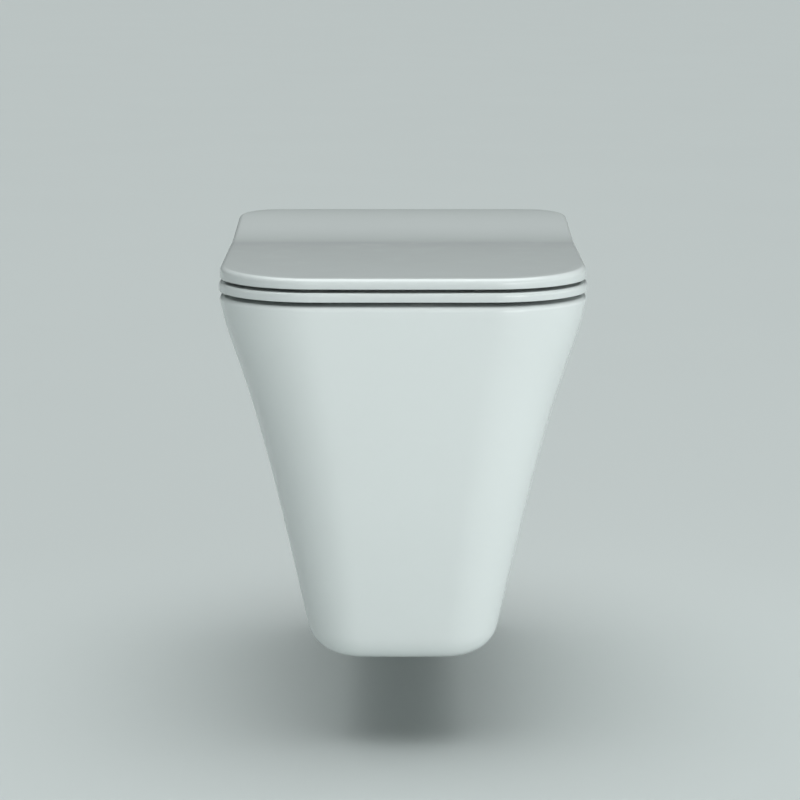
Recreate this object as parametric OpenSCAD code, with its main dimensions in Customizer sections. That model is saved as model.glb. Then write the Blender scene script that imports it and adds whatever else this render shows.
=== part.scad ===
// Wall hung toilet: glazed pan, seat, lid, hinges, hidden wall fixings and the two pipe connections.
// +Z is up, the front faces -Y, the wall face is the plane y = 0 and the origin lies
// midway between the two wall bolts.

/* [Pan] */
// Width of the pan across its rim
pan_w = 357; // [345:1:400]
// How far the front of the rim stands out from the wall
pan_len = 538; // [500:1:600]
// Height of the rim above the wall bolts
rim_z = 77.2; // [72:0.1:95]
// Depth of the underside below the wall bolts
base_drop = 276; // [262:1:300]
// Width of the pan just above its underside
base_w = 174; // [160:1:230]
// How far the front of the underside stands out from the wall
base_len = 505; // [450:1:520]
// Radius of the rim's front corners, seen from above
rim_corner_r = 92; // [75:1:105]
// Radius of the underside's front corners, seen from above
base_corner_r = 47; // [40:1:72]
// How far the middle of the front edge stands ahead of its corners
front_bow = 4; // [0:0.5:8]
// Share of the sides' widening that curves outwards
side_flare = 0.22; // [0:0.02:0.4]
// How far the sides stop short of the flare where they straighten up to the rim
rim_turn = 6.6; // [0:0.1:9]
// Height of the band below the rim in which they straighten
rim_turn_h = 51; // [45:1:70]
// Power of the curve by which the front face leans back
front_lean = 2.5; // [1:0.1:3]
// Rounding of the edge round the underside
base_edge_r = 26; // [14:1:30]
// Rounding of the rim's outer edge
rim_edge_r = 5; // [3:0.5:10]
// Rounding of the upright edges at the wall
back_edge_r = 4; // [2:0.5:8]
// Thickness of the ceramic walls
ware_t = 12; // [9:1:14]
// Thickness of the wall that bears on the building
back_wall_t = 14; // [11:1:16]

/* [Bowl and waterways] */
// Width of the rim at the sides, from the outside to the bowl
rim_side_w = 50; // [44:1:60]
// Width of the rim at the front, from the outside to the bowl
rim_front_w = 44; // [38:1:60]
// Distance from the wall to the bowl's rear edge
bowl_back = 175; // [170:1:190]
// Rounding of the rim where it turns down into the bowl
bowl_edge_r = 8; // [4:1:12]
// Distance from the wall to the middle of the sump
sump_len = 290; // [280:1:310]
// Radius of the sump at the foot of the bowl
sump_r = 32; // [30:1:38]
// Clear radius of the trapway
trap_r = 28; // [26:1:30]
// Thickness of the trapway's wall
trap_t = 9; // [7:1:12]
// Height of the flush inlet above the wall bolts
inlet_z = 35; // [30:1:40]
// Radius of the inlet socket in the pan
socket_r = 27.5; // [26.5:0.5:29]
// Depth of the inlet socket
socket_depth = 42; // [36:1:50]
// Clear radius of the flush duct behind the bowl
duct_r = 24; // [18:1:26]
// Depth of the outlet's middle below the wall bolts
outlet_drop = 100; // [95:1:105]
// Outer radius of the outlet spigot
spigot_r = 51; // [50:0.5:52]
// Clear radius of the outlet spigot
spigot_bore_r = 45; // [42:0.5:46]
// Distance from the wall to the spigot's end
spigot_gap = 10; // [8:1:14]

/* [Wall fixing] */
// Distance between the two wall studs
stud_pitch = 180; // [180:50:230]
// Radius of a wall stud
stud_r = 6; // [5:1:6]
// How much thinner a stud's plain shank inside the pan is than its threaded end
stud_neck = 0.6; // [0.3:0.1:1]
// Length of a stud inside the pan
stud_in = 64; // [58:1:80]
// Length of a stud and of each pipe behind the wall face
behind_wall = 45; // [20:1:80]
// Size of a fixing block, across and up
block_w = 34; // [30:1:38]
// Length of a fixing block along the stud
block_len = 36; // [30:1:40]
// Radius of a clamp screw
clamp_r = 5; // [4:1:6]
// Radius of the access hole in the pan's side
access_r = 7; // [6.5:0.5:9]

/* [Hinges] */
// Distance between the two hinge holes
hinge_pitch = 155; // [145:1:165]
// Distance from the wall to the hinge holes
hinge_len = 70; // [62:1:76]
// Radius of the hinge holes in the ceramic
hinge_hole_r = 8; // [7.5:0.5:9]
// Height of the hinge pins above the rim
pin_rise = 30.8; // [27:0.1:34]
// Radius of a hinge pin
pin_r = 4; // [3:0.5:4.5]
// Radius of a hinge post's foot
post_r = 13; // [11:1:14]
// Radius of a hinge post's head
post_head_r = 10; // [8:0.5:11]
// Radius of the knuckles on the seat and the lid
knuckle_r = 10.5; // [9:0.5:11]
// Length of a knuckle along the pin
knuckle_len = 20.5; // [16:0.5:24]
// Radius of the dampers and bushes in the knuckles
barrel_r = 7.5; // [6:0.5:8]

/* [Seat and lid] */
// How far the seat stands back from the rim all round
seat_shy = 0.2; // [0:0.1:2]
// How far the lid stands back from the rim all round
lid_shy = 1.3; // [0:0.1:3]
// Gap between the rim and the seat's outer edge
seat_gap = 4.1; // [1:0.1:6]
// Thickness of the seat at its outer edge
seat_t = 8.8; // [8:0.2:14]
// Width of the seat ring at the sides
seat_ring_w = 68; // [60:1:76]
// Width of the seat ring at the front
seat_front_w = 52; // [46:1:64]
// Distance from the wall to the seat opening's rear edge
seat_hole_back = 178; // [172:1:190]
// Distance from the wall to the rear edges of the seat and the lid
seat_back = 86; // [84:1:90]
// Radius of the rear corners of the seat and the lid
seat_back_r = 44; // [30:1:50]
// Gap between the seat and the lid's edge
lid_gap = 3.3; // [1.5:0.1:4]
// Height of the lid where it begins to rise
lid_t = 15.2; // [12:0.1:17]
// Extra height of the lid at the rear
lid_rise = 14.2; // [8:0.1:20]
// Distance from the wall at which the lid begins to rise
lid_rise_start = 290; // [250:1:400]
// Distance from the wall at which a longer lid would end its rise
lid_rise_end = 60; // [30:1:80]
// How far the lid's top falls away towards its front edge
lid_front_fall = 5.4; // [0:0.1:6]
// Rounding of the lid's upper edge
lid_edge_r = 5; // [3:0.5:6]
// Thickness of the lid's shell
lid_shell_t = 4.5; // [3:0.1:5]

/* [Fits] */
// Radial clearance of the pins, studs and screws in their bores
run_gap = 0.05; // [0.02:0.01:0.1]
// Gap left between a soft piece and what it lies against
soft_gap = 0.1; // [0.05:0.05:0.3]

/* [Hidden] */

$fn = 64;
// Facets of a lofted outline: front corner, rear corner, side and front edge
corner_n = 12;
back_corner_n = 6;
side_n = 8;
front_n = 4;
// Steps of a rounded edge
edge_n = 4;
// Levels of the pan between its rounded edges, and the power that draws them up to the rim
body_n = 10;
body_gather = 1.5;
// Overshoot of a cut beyond the face that it opens
cut = 1;

glaze = [0.90, 0.92, 0.92];
plastic_white = [0.86, 0.88, 0.88];
chrome = [0.78, 0.79, 0.80];
steel = [0.62, 0.63, 0.65];
brass = [0.78, 0.66, 0.36];
rubber_black = [0.12, 0.12, 0.13];
rubber_clear = [0.80, 0.81, 0.80];
nylon = [0.55, 0.57, 0.60];
pipe_grey = [0.28, 0.29, 0.31];

// How far up the pan a height lies, from 0 at the underside to 1 at the rim
function rise(z) = (z + base_drop) / (rim_z + base_drop);
// Half the pan's width, its front and its front corners' radius, at a share of its height
function half_w(u) =
    base_w / 2 + (pan_w / 2 + rim_turn - base_w / 2) * u * (1 - side_flare + side_flare * pow(max(0, u), 3))
    - rim_turn * pow(max(0, 1 - (1 - u) * (rim_z + base_drop) / rim_turn_h), 2);
function front_at(u) =
    pan_len - (pan_len - base_len) * pow(max(0, 1 - u), front_lean);
function corner_at(u) = base_corner_r + (rim_corner_r - base_corner_r) * u;

function arc(c, r, from, to, n) =
    [for (i = [0:n]) let (a = from + (to - from) * i / n) c + r * [cos(a), sin(a)]];
// Points between two others, without either end
function between(a, b, n) = [for (i = [1:n - 1]) a + (b - a) * i / n];

// A rounded rectangle seen from above, anticlockwise, with a slightly bowed front
function outline(hw, back, front, back_r, front_r, bow = front_bow) =
    let (
        fc = [hw - front_r, -front + front_r],
        bc = [hw - back_r, -back - back_r],
        flip = [-1, 1],
        points = concat(
            arc(fc, front_r, -90, 0, corner_n),
            between([hw, fc.y], [hw, bc.y], side_n),
            arc(bc, back_r, 0, 90, back_corner_n),
            arc([-bc.x, bc.y], back_r, 90, 180, back_corner_n),
            between([-hw, bc.y], [-hw, fc.y], side_n),
            arc([-fc.x, fc.y], front_r, 180, 270, corner_n),
            between([-fc.x, -front], [fc.x, -front], front_n)
        )
    )
    [for (p = points) [p.x, p.y + bow * pow(p.x / hw * (p.y + back) / (front - back), 2)]];

// An outline drawn in by a distance all round
function inset_outline(hw, back, front, back_r, front_r, d) =
    outline(hw - d, back + d, front - d, max(back_r - d, 1), max(front_r - d, 1));
function scaled(points, c, k) = [for (p = points) c + k * (p - c)];
function level(points, z) = [for (p = points) [p.x, p.y, z]];
function middle(ring) = [for (i = [0:2]) let (v = [for (p = ring) p[i]]) (min(v) + max(v)) / 2];

// A solid skin over rings of equal counts, closed with a fan at each end
module loft(rings) {
    n = len(rings[0]);
    m = len(rings);
    points = concat([for (r = rings) each r], [middle(rings[0]), middle(rings[m - 1])]);
    sides = [
        for (i = [0:m - 2]) for (j = [0:n - 1])
            let (a = i * n + j, b = i * n + (j + 1) % n)
            each [[a, a + n, b + n], [a, b + n, b]]
    ];
    foot = [for (j = [0:n - 1]) [m * n, j, (j + 1) % n]];
    head = [for (j = [0:n - 1]) [m * n + 1, (m - 1) * n + (j + 1) % n, (m - 1) * n + j]];
    polyhedron(points = points, faces = concat(sides, foot, head), convexity = 8);
}

// A closed ring whose section is carried round from station to station
module ring_loft(stations) {
    n = len(stations[0]);
    m = len(stations);
    faces = [
        for (i = [0:m - 1]) for (j = [0:n - 1])
            let (
                next = (i + 1) % m * n,
                a = i * n + j,
                b = i * n + (j + 1) % n,
                c = next + j,
                d = next + (j + 1) % n
            )
            each [[a, b, d], [a, d, c]]
    ];
    polyhedron(points = [for (s = stations) each s], faces = faces, convexity = 8);
}

// Repeats what stands at the left hinge or stud on the right as well
module both_sides() {
    children();
    mirror([1, 0, 0]) children();
}

// A round solid along Y, from one distance to another, where minus is in front of the wall
module along_y(r, from, to, r_end = undef) {
    translate([0, from, 0]) rotate([-90, 0, 0])
        cylinder(h = to - from, r1 = r, r2 = is_undef(r_end) ? r : r_end);
}

// A round solid along X from the centre plane outwards
module along_x(r, from, to) {
    translate([from, 0, 0]) rotate([0, 90, 0]) cylinder(h = to - from, r = r);
}

/* Pan */

// The levels of the pan's skin, drawn in by a wall, as [height, extra inset]
function skin_levels(d) =
    let (
        er = max(base_edge_r - d, 3),
        rr = max(rim_edge_r - d, 1),
        low = -base_drop + d,
        high = rim_z - d
    )
    concat(
        [for (i = [0:edge_n]) let (a = 90 * i / edge_n) [low + er * (1 - cos(a)), d + er * (1 - sin(a))]],
        [
            for (i = [1:body_n - 1])
                [high - rr - (high - rr - low - er) * pow(1 - i / body_n, body_gather), d]
        ],
        [for (i = [0:edge_n]) let (a = 90 * i / edge_n) [high - rr * (1 - sin(a)), d + rr * (1 - cos(a))]]
    );

function skin_ring(z, d, back) =
    let (u = rise(z), r = corner_at(u))
    level(outline(half_w(u) - d, back, front_at(u) - d, back_edge_r, max(r - d, 8)), z);

module skin(d, back) {
    loft([for (l = skin_levels(d)) skin_ring(l[0], l[1], back)]);
}

bowl_half_w = pan_w / 2 - rim_side_w;
bowl_front = pan_len - rim_front_w;
bowl_half_len = (bowl_front - bowl_back) / 2;
bowl_mid = (bowl_front + bowl_back) / 2;
// Space between the sump and the pan's underside
sump_clear = 16;
sump_z = -base_drop + ware_t + sump_r + sump_clear;
bowl_depth = rim_z - sump_z;
// Squareness of the bowl's mouth, where 2 is an ellipse, and the power of the bowl's slope
bowl_square = 2.5;
bowl_slope = 1.6;
// Points round the bowl, levels down it and levels of the round sump below them
bowl_n = 40;
bowl_levels = 9;
sump_levels = 4;

function oval(a, b, c, z, square) = [
    for (i = [0:bowl_n - 1])
        let (t = 360 * i / bowl_n, e = 2 / square)
        [a * sign(cos(t)) * pow(abs(cos(t)), e), b * sign(sin(t)) * pow(abs(sin(t)), e) - c, z]
];
// The bowl's outline at a depth below the rim from 0 to 1, grown by a wall
function bowl_ring(v, d) =
    let (s = 1 - pow(v, bowl_slope), foot = sump_r + d)
    oval(
        foot + (bowl_half_w + d - foot) * s, foot + (bowl_half_len + d - foot) * s,
        sump_len + (bowl_mid - sump_len) * s, rim_z - bowl_depth * v, 2 + (bowl_square - 2) * s
    );
// The sump's outline at an angle below its widest level
function sump_ring(a, d) =
    let (r = (sump_r + d) * cos(a)) oval(r, r, sump_len, sump_z - (sump_r + d) * sin(a), 2);
// The mouth's outline at an angle round its rolled edge
function mouth_ring(a, edge) =
    let (out = edge * (1 - cos(a)))
    oval(bowl_half_w + out, bowl_half_len + out, bowl_mid, rim_z - edge * (1 - sin(a)), bowl_square);

// The bowl as a solid: d grows it by a wall, and an edge of 0 leaves the rim sharp
module bowl_solid(d, edge) {
    sump = [for (i = [sump_levels:-1:1]) sump_ring(90 * i / (sump_levels + 0.5), d)];
    below = [for (i = [bowl_levels:-1:edge > 0 ? 1 : 0]) bowl_ring(i / bowl_levels, d)];
    mouth = [for (i = [1:edge_n]) mouth_ring(90 * i / edge_n, edge)];
    lip = oval(bowl_half_w + edge, bowl_half_len + edge, bowl_mid, rim_z + cut, bowl_square);
    loft(edge > 0 ? concat(sump, below, mouth, [lip]) : concat(sump, below));
}

// The trapway runs back level from the sump, climbs behind the bowl and falls from the weir
climb_a = 55;
bend_r = 48;
weir_fall = 3;
weir_z = -outlet_drop + weir_fall;
weir_start = bowl_back - 50;
weir_end = 114;
// Distance from the wall at which the spigot has its full radius
spigot_len = 80;
climb_len = (weir_z - sump_z - 2 * bend_r * (1 - cos(climb_a))) / sin(climb_a);
climb_start = weir_start + 2 * bend_r * sin(climb_a) + climb_len * cos(climb_a);
// Points round the trapway and steps of a bend
trap_n = 32;
bend_n = 4;

// A ring across the trapway, where a is how steeply it climbs there
function trap_ring(d, z, a, r) = [
    for (i = [0:trap_n - 1])
        let (t = 360 * (i + 0.5) / trap_n, up = r * sin(t))
        [-r * cos(t), -d - up * sin(a), z + up * cos(a)]
];
module trap_solid(r, spigot, end) {
    foot = [
        for (i = [0:bend_n])
            let (a = climb_a * i / bend_n)
            trap_ring(climb_start - bend_r * sin(a), sump_z + bend_r * (1 - cos(a)), a, r)
    ];
    weir = [
        for (i = [bend_n:-1:0])
            let (a = climb_a * i / bend_n)
            trap_ring(weir_start + bend_r * sin(a), weir_z - bend_r * (1 - cos(a)), a, r)
    ];
    fall = [trap_ring(weir_end, weir_z, 0, r), trap_ring(spigot_len - 1, -outlet_drop, 0, spigot - 1)];
    loft(concat([trap_ring(sump_len, sump_z, 0, r)], foot, weir, fall));
    translate([0, 0, -outlet_drop]) along_y(spigot, -spigot_len, end);
}

// The flush duct runs forward from the inlet and opens into the bowl as a wide slot
slot_w = 80;
slot_h = 22;
// How far the slot reaches back from the bowl's rear edge, and its walls forward of it
slot_back = 25;
slot_front = 6;
module duct_void() {
    translate([0, 0, inlet_z]) {
        along_y(socket_r, -socket_depth, cut);
        along_y(duct_r, -bowl_back + slot_back - 5, -socket_depth + cut);
        translate([-slot_w / 2, -bowl_back - slot_front - 14, -slot_h / 2])
            cube([slot_w, slot_front + 14 + slot_back, slot_h]);
    }
}
module duct_ware() {
    translate([0, 0, inlet_z]) {
        along_y(socket_r + trap_t, -bowl_back + 4, -1);
        translate([-slot_w / 2 - trap_t, -bowl_back - slot_front, -slot_h / 2 - trap_t])
            cube([slot_w + 2 * trap_t, slot_front + slot_back + 4, slot_h + 2 * trap_t]);
    }
}

// The wall that bears on the building, above the open space round the outlet
back_wall_foot = -36;
// How far the back wall's outline stays inside the skin's
back_wall_in = 3;
module back_wall() {
    heights = [for (i = [0:4]) back_wall_foot + (rim_z - back_wall_in - back_wall_foot) * i / 4];
    right = [for (z = heights) [half_w(rise(z)) - back_wall_in, z]];
    left = [for (i = [4:-1:0]) [-right[i].x, right[i].y]];
    rotate([90, 0, 0]) linear_extrude(back_wall_t) polygon(concat(right, left));
}

// Thickness of the bush's flange behind the back wall, where the fixing block begins
flange_t = 3;
block_start = back_wall_t + flange_t;
clamp_len = block_start + block_len / 2;
// The pan's side leans out by this angle at height z, taken over a short stretch
tilt_span = 20;
function side_tilt_at(z) =
    atan((half_w(rise(z + tilt_span / 2)) - half_w(rise(z - tilt_span / 2))) / tilt_span);
// The clamp screw's line leaves the stud and meets the side squarely: its tilt and its length
function clamp_line(tilt, reach, passes) =
    passes == 0 ? [tilt, reach] :
    let (next = side_tilt_at(-reach * sin(tilt)))
        clamp_line(next, (half_w(rise(-reach * sin(next))) - stud_pitch / 2) / cos(next), passes - 1);
clamp = clamp_line(0, half_w(rise(0)) - stud_pitch / 2, 8);
side_tilt = clamp[0];
clamp_reach = clamp[1];

// Puts its children at the left stud, with Z along the clamp screw's line to the outside
module on_clamp_line() {
    translate([-stud_pitch / 2, -clamp_len, 0]) rotate([0, -90 - side_tilt, 0]) children();
}

// Ribs above and below each fixing block run out to the pan's side
rib_t = 8;
rib_gap = 0.3;
rib_out = half_w(rise(-30)) - back_wall_in;
module block_ribs() {
    for (z = [-block_w / 2 - rib_gap - rib_t, block_w / 2 + rib_gap])
        translate([-rib_out, -block_start - block_len, z])
            cube([rib_out - stud_pitch / 2 + block_w / 2, block_len + flange_t + cut, rib_t]);
}

// Height and wall of the bosses under the hinge holes
boss_h = 8;
boss_t = 8;
module pan() {
    color(glaze) difference() {
        union() {
            difference() {
                skin(0, 0);
                skin(ware_t, -cut);
            }
            back_wall();
            bowl_solid(ware_t, 0);
            trap_solid(trap_r + trap_t, spigot_r, -spigot_gap);
            duct_ware();
            both_sides() {
                block_ribs();
                translate([post_x, -hinge_len, rim_z - ware_t - boss_h])
                    cylinder(h = boss_h + 2, r = hinge_hole_r + boss_t);
            }
        }
        bowl_solid(0, bowl_edge_r);
        trap_solid(trap_r, spigot_bore_r, cut);
        duct_void();
        both_sides() {
            translate([post_x, -hinge_len, rim_z - hinge_hole_h])
                cylinder(h = hinge_hole_h + cut, r = hinge_hole_r);
            translate([-stud_pitch / 2, 0, 0]) along_y(bush_r + run_gap, -back_wall_t - cut, cut);
            on_clamp_line() translate([0, 0, block_w / 2 + flange_t]) cylinder(h = clamp_reach, r = access_r);
        }
    }
}

/* Wall fixing */

shank_r = stud_r - stud_neck;
bush_t = 4;
bush_r = stud_r + bush_t;
module stud_bushes() {
    color(nylon) both_sides() translate([-stud_pitch / 2, 0, 0]) difference() {
        union() {
            along_y(bush_r, -back_wall_t - 1, -soft_gap);
            along_y(bush_r + bush_t, -block_start, -back_wall_t);
        }
        along_y(shank_r + soft_gap, -block_start - cut, cut);
    }
}

chamfer = 1.2;
module wall_studs() {
    color(steel) both_sides() translate([-stud_pitch / 2, 0, 0]) {
        along_y(shank_r - chamfer, -stud_in, -stud_in + chamfer, shank_r);
        along_y(shank_r, -stud_in + chamfer, cut);
        along_y(stud_r, 0, behind_wall);
    }
}

// A block stands behind each bush and is held to its stud by the clamp screw
module fixing_block() {
    difference() {
        translate([-stud_pitch / 2 - block_w / 2, -block_start - block_len, -block_w / 2])
            cube([block_w, block_len, block_w]);
        translate([-stud_pitch / 2, 0, 0]) along_y(shank_r + soft_gap, -stud_in - cut, 0);
        on_clamp_line() cylinder(h = block_w, r = clamp_r + run_gap);
    }
}
module fixing_block_left() {
    color(steel) fixing_block();
}
module fixing_block_right() {
    color(steel) mirror([1, 0, 0]) fixing_block();
}

clamp_screw_len = 34;
// Depth of the hexagon socket and its radius as a share of the screw's
hex_depth = 5;
hex_share = 0.6;
module clamp_screws() {
    color(steel) both_sides() on_clamp_line() difference() {
        union() {
            translate([0, 0, shank_r + soft_gap]) cylinder(h = chamfer, r1 = clamp_r - chamfer, r2 = clamp_r);
            translate([0, 0, shank_r + soft_gap + chamfer]) cylinder(h = clamp_screw_len, r = clamp_r);
        }
        translate([0, 0, shank_r + soft_gap + chamfer + clamp_screw_len - hex_depth])
            cylinder(h = hex_depth + cut, r = clamp_r * hex_share, $fn = 6);
    }
}

cap_r = access_r + 3;
cap_t = 2.2;
// Length and wall of a cap's stem, and its gap to the pan's side
cap_stem = 8;
cap_wall = 2;
cap_gap = 0.3;
module access_caps() {
    color(plastic_white) both_sides() on_clamp_line() translate([0, 0, clamp_reach]) difference() {
        union() {
            translate([0, 0, -cap_stem]) cylinder(h = cap_stem + cap_t, r = access_r - soft_gap);
            translate([0, 0, cap_gap]) {
                cylinder(h = cap_t - chamfer, r = cap_r);
                translate([0, 0, cap_t - chamfer]) cylinder(h = chamfer, r1 = cap_r, r2 = cap_r - chamfer);
            }
        }
        translate([0, 0, -cap_stem - cut]) cylinder(h = cap_stem, r = access_r - cap_wall);
    }
}

/* Pipe connections */

// The flush pipe's radius behind the wall face, in the socket and its wall
pipe_r = 22.5;
pipe_end_r = 22;
pipe_t = 3;
// Depth of a groove between a seal's lips
lip_h = 2;
module inlet_seal() {
    lip = pipe_end_r + soft_gap;
    outer = socket_r - soft_gap;
    end = socket_depth - 6;
    color(rubber_black) translate([0, 0, inlet_z]) rotate([90, 0, 0]) rotate_extrude()
        polygon([
            [lip + lip_h, 5], [outer, 5], [outer, end], [lip + lip_h, end],
            [lip, end - 4], [lip + lip_h, end - 8], [lip + lip_h, 21], [lip, 17], [lip + lip_h, 13]
        ]);
}

// How far the flush pipe stands in the socket
pipe_in = socket_depth - 2;
module flush_pipe() {
    color(pipe_grey) translate([0, 0, inlet_z]) difference() {
        union() {
            along_y(pipe_end_r - chamfer, -pipe_in, -pipe_in + chamfer, pipe_end_r);
            along_y(pipe_end_r, -pipe_in + chamfer, -1);
            along_y(pipe_r, -1, behind_wall);
        }
        along_y(pipe_r - pipe_t, -socket_depth, behind_wall + cut);
    }
}

// The soil connector's pipe, its wall and its socket round the pan's spigot
soil_r = 45;
soil_t = 3;
soil_len = behind_wall + 5;
soil_socket_r = spigot_r + 3.5;
soil_socket_len = 46;
soil_floor = 4;
module outlet_seal() {
    outer = soil_socket_r - soft_gap;
    lip = spigot_r + soft_gap;
    color(rubber_black) translate([0, 0, -outlet_drop]) rotate([90, 0, 0]) rotate_extrude()
        polygon([
            [lip + 1, 22], [outer, 22], [outer, 40], [lip + 1, 40], [lip, 36], [lip + 1, 32], [lip, 27]
        ]);
}

module soil_connector() {
    color(pipe_grey) translate([0, 0, -outlet_drop]) difference() {
        union() {
            along_y(soil_socket_r + soil_t, -soil_socket_len, 0);
            along_y(soil_r, -1, soil_len);
        }
        along_y(soil_socket_r, -soil_socket_len - cut, -soil_floor);
        along_y(soil_r - soil_t, -soil_floor - cut, soil_len + cut);
    }
}

/* Hinges */

gasket_t = 1.5;
pin_z = rim_z + pin_rise;
post_x = -hinge_pitch / 2;
hinge_hole_h = 40;
// Heights of a post's foot and of the cone above it, and how far the head's radius tops the neck's
foot_h = 2;
cone_h = 8;
neck_shy = 0.5;
head_len = 24;
side_gap = 0.5;
// Where the knuckles start, inwards for the seat and outwards for the lid
seat_knuckle_x = post_x + post_r + side_gap;
lid_knuckle_x = post_x - post_r - side_gap;
// Thickness of the wall that closes the inner end of a knuckle
end_wall = 2;

module post() {
    foot_z = rim_z + gasket_t;
    neck_r = post_head_r - neck_shy;
    translate([post_x, -hinge_len, 0]) difference() {
        union() {
            translate([0, 0, foot_z]) cylinder(h = foot_h, r = post_r);
            translate([0, 0, foot_z + foot_h]) cylinder(h = cone_h, r1 = post_r, r2 = neck_r);
            translate([0, 0, foot_z + cone_h]) cylinder(h = pin_z - foot_z - cone_h, r = neck_r);
            translate([0, 0, pin_z]) along_x(post_head_r, -head_len / 2, head_len / 2);
        }
        translate([0, 0, pin_z]) along_x(pin_r + run_gap, -head_len, head_len);
        translate([0, 0, rim_z]) cylinder(h = stud_up + cut, r = hinge_stud_r + run_gap);
        translate([0, 0, pin_z]) along_y(grub_r + run_gap, 0, post_head_r + cut);
    }
}
module hinge_post_left() {
    color(chrome) post();
}
module hinge_post_right() {
    color(chrome) mirror([1, 0, 0]) post();
}

hinge_stud_r = 4;
// Lengths of a hinge stud above and below the rim
stud_up = 13;
stud_down = 54;
module hinge_gaskets() {
    color(rubber_clear) both_sides() translate([post_x, -hinge_len, rim_z]) difference() {
        cylinder(h = gasket_t, r = post_r + 2);
        translate([0, 0, -cut]) cylinder(h = gasket_t + 2 * cut, r = hinge_stud_r + 0.3);
    }
}
module hinge_studs() {
    color(steel) both_sides() translate([post_x, -hinge_len, rim_z - stud_down])
        cylinder(h = stud_down + stud_up, r = hinge_stud_r);
}

nut_h = 10;
sleeve_h = stud_down - nut_h - 3;
// The sleeve bulges below the ceramic where the nut has squeezed it
sleeve_bulge = 2;
bulge_n = 8;
module expansion_sleeves() {
    free = sleeve_h - ware_t - boss_h - 1;
    inner = hinge_stud_r + 2 * soft_gap;
    outer = hinge_hole_r - soft_gap;
    bulge = [
        for (i = [1:bulge_n - 1])
            [outer + sleeve_bulge * sin(180 * i / bulge_n), free * i / bulge_n]
    ];
    color(rubber_clear) both_sides()
        translate([post_x, -hinge_len, rim_z - sleeve_h - 2 * soft_gap]) rotate_extrude()
            polygon(concat(
                [[inner, 0], [outer, 0]], bulge, [[outer, free], [outer, sleeve_h], [inner, sleeve_h]]
            ));
}
module sleeve_nuts() {
    color(brass) both_sides()
        translate([post_x, -hinge_len, rim_z - sleeve_h - 3 * soft_gap - nut_h]) difference() {
        cylinder(h = nut_h, r = hinge_hole_r - 2 * soft_gap, $fn = 6);
        translate([0, 0, -cut]) cylinder(h = nut_h + 2 * cut, r = hinge_stud_r + run_gap);
    }
}

// How far a pin's ends stop short of the knuckles'
pin_short = 0.4;
module hinge_pin() {
    translate([0, -hinge_len, pin_z])
        along_x(
            pin_r, lid_knuckle_x - knuckle_len + pin_short,
            seat_knuckle_x + knuckle_len - end_wall - pin_short
        );
}
module hinge_pin_left() {
    color(steel) hinge_pin();
}
module hinge_pin_right() {
    color(steel) mirror([1, 0, 0]) hinge_pin();
}

grub_r = 2.5;
grub_socket = 3;
module pin_grub_screws() {
    color(steel) both_sides() translate([post_x, -hinge_len, pin_z]) difference() {
        along_y(grub_r, pin_r + soft_gap, post_head_r - neck_shy);
        along_y(grub_r * hex_share, post_head_r - grub_socket, post_head_r, $fn = 6);
    }
}

// A sleeve on the pin inside a knuckle, a little shorter than its bore
barrel_short = 0.2;
module barrel(from, to) {
    translate([0, -hinge_len, pin_z]) difference() {
        along_x(barrel_r, from, to);
        along_x(pin_r + run_gap, from - cut, to + cut);
    }
}

/* Seat */

seat_z = rim_z + seat_gap;
seat_top = seat_z + seat_t;
seat_hw = pan_w / 2 - seat_shy;
seat_front = pan_len - seat_shy;
// Height of the recess under the seat, the wall round it and the small lower inner edge
seat_recess = 3.8;
seat_wall_t = 5;
seat_arris = 0.8;
// Roundings of the seat's lower and upper outer edges and the drop of its top towards the opening
seat_foot_r = 1;
seat_edge_r = 3.5;
seat_dish = 0.5;
seat_roll_w = 16;
seat_roll_h = 7;
// The seat's section as [share of the way in, distance further in, height above its foot]
seat_section = [
    [0, seat_wall_t, 0], [0, seat_foot_r, 0], [0, 0.3 * seat_foot_r, 0.3 * seat_foot_r], [0, 0, seat_foot_r],
    [0, 0, seat_t - seat_edge_r], [0, 0.13 * seat_edge_r, seat_t - 0.5 * seat_edge_r],
    [0, 0.5 * seat_edge_r, seat_t - 0.13 * seat_edge_r], [0, seat_edge_r, seat_t], [0.5, 0, seat_t],
    [1, -seat_roll_w, seat_t - seat_dish], [1, -0.4 * seat_roll_w, seat_t - 0.3 * seat_roll_h],
    [1, -0.1 * seat_roll_w, seat_t - 0.7 * seat_roll_h], [1, 0, seat_t - seat_roll_h],
    [1, -1, seat_arris], [1, -seat_wall_t + 1, seat_arris], [1, -seat_wall_t, seat_recess],
    [0, seat_wall_t + 1, seat_recess]
];
// How round the seat opening's rear and front are, as shares of its half width
hole_back_round = 0.8;
hole_front_round = 0.95;

module seat_body() {
    outer = outline(seat_hw, seat_back, seat_front, seat_back_r, rim_corner_r - seat_shy);
    hole_hw = seat_hw - seat_ring_w;
    hole_front = seat_front - seat_front_w;
    inner = outline(
        hole_hw, seat_hole_back, hole_front, hole_hw * hole_back_round, hole_hw * hole_front_round
    );
    ring_loft([
        for (i = [0:len(outer) - 1])
            let (a = outer[i], way = inner[i] - a, dir = way / norm(way))
            [for (s = seat_section) let (p = a + way * s[0] + dir * s[1]) [p.x, p.y, seat_z + s[2]]]
    ]);
}

// A knuckle on the pin: from and to are its ends, and its bore stops at the end wall
module knuckle(from, to) {
    translate([0, -hinge_len, pin_z]) along_x(knuckle_r, from, to);
}
module knuckle_bore(from, to) {
    translate([0, -hinge_len, pin_z]) along_x(barrel_r + run_gap, from, to);
}

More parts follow.
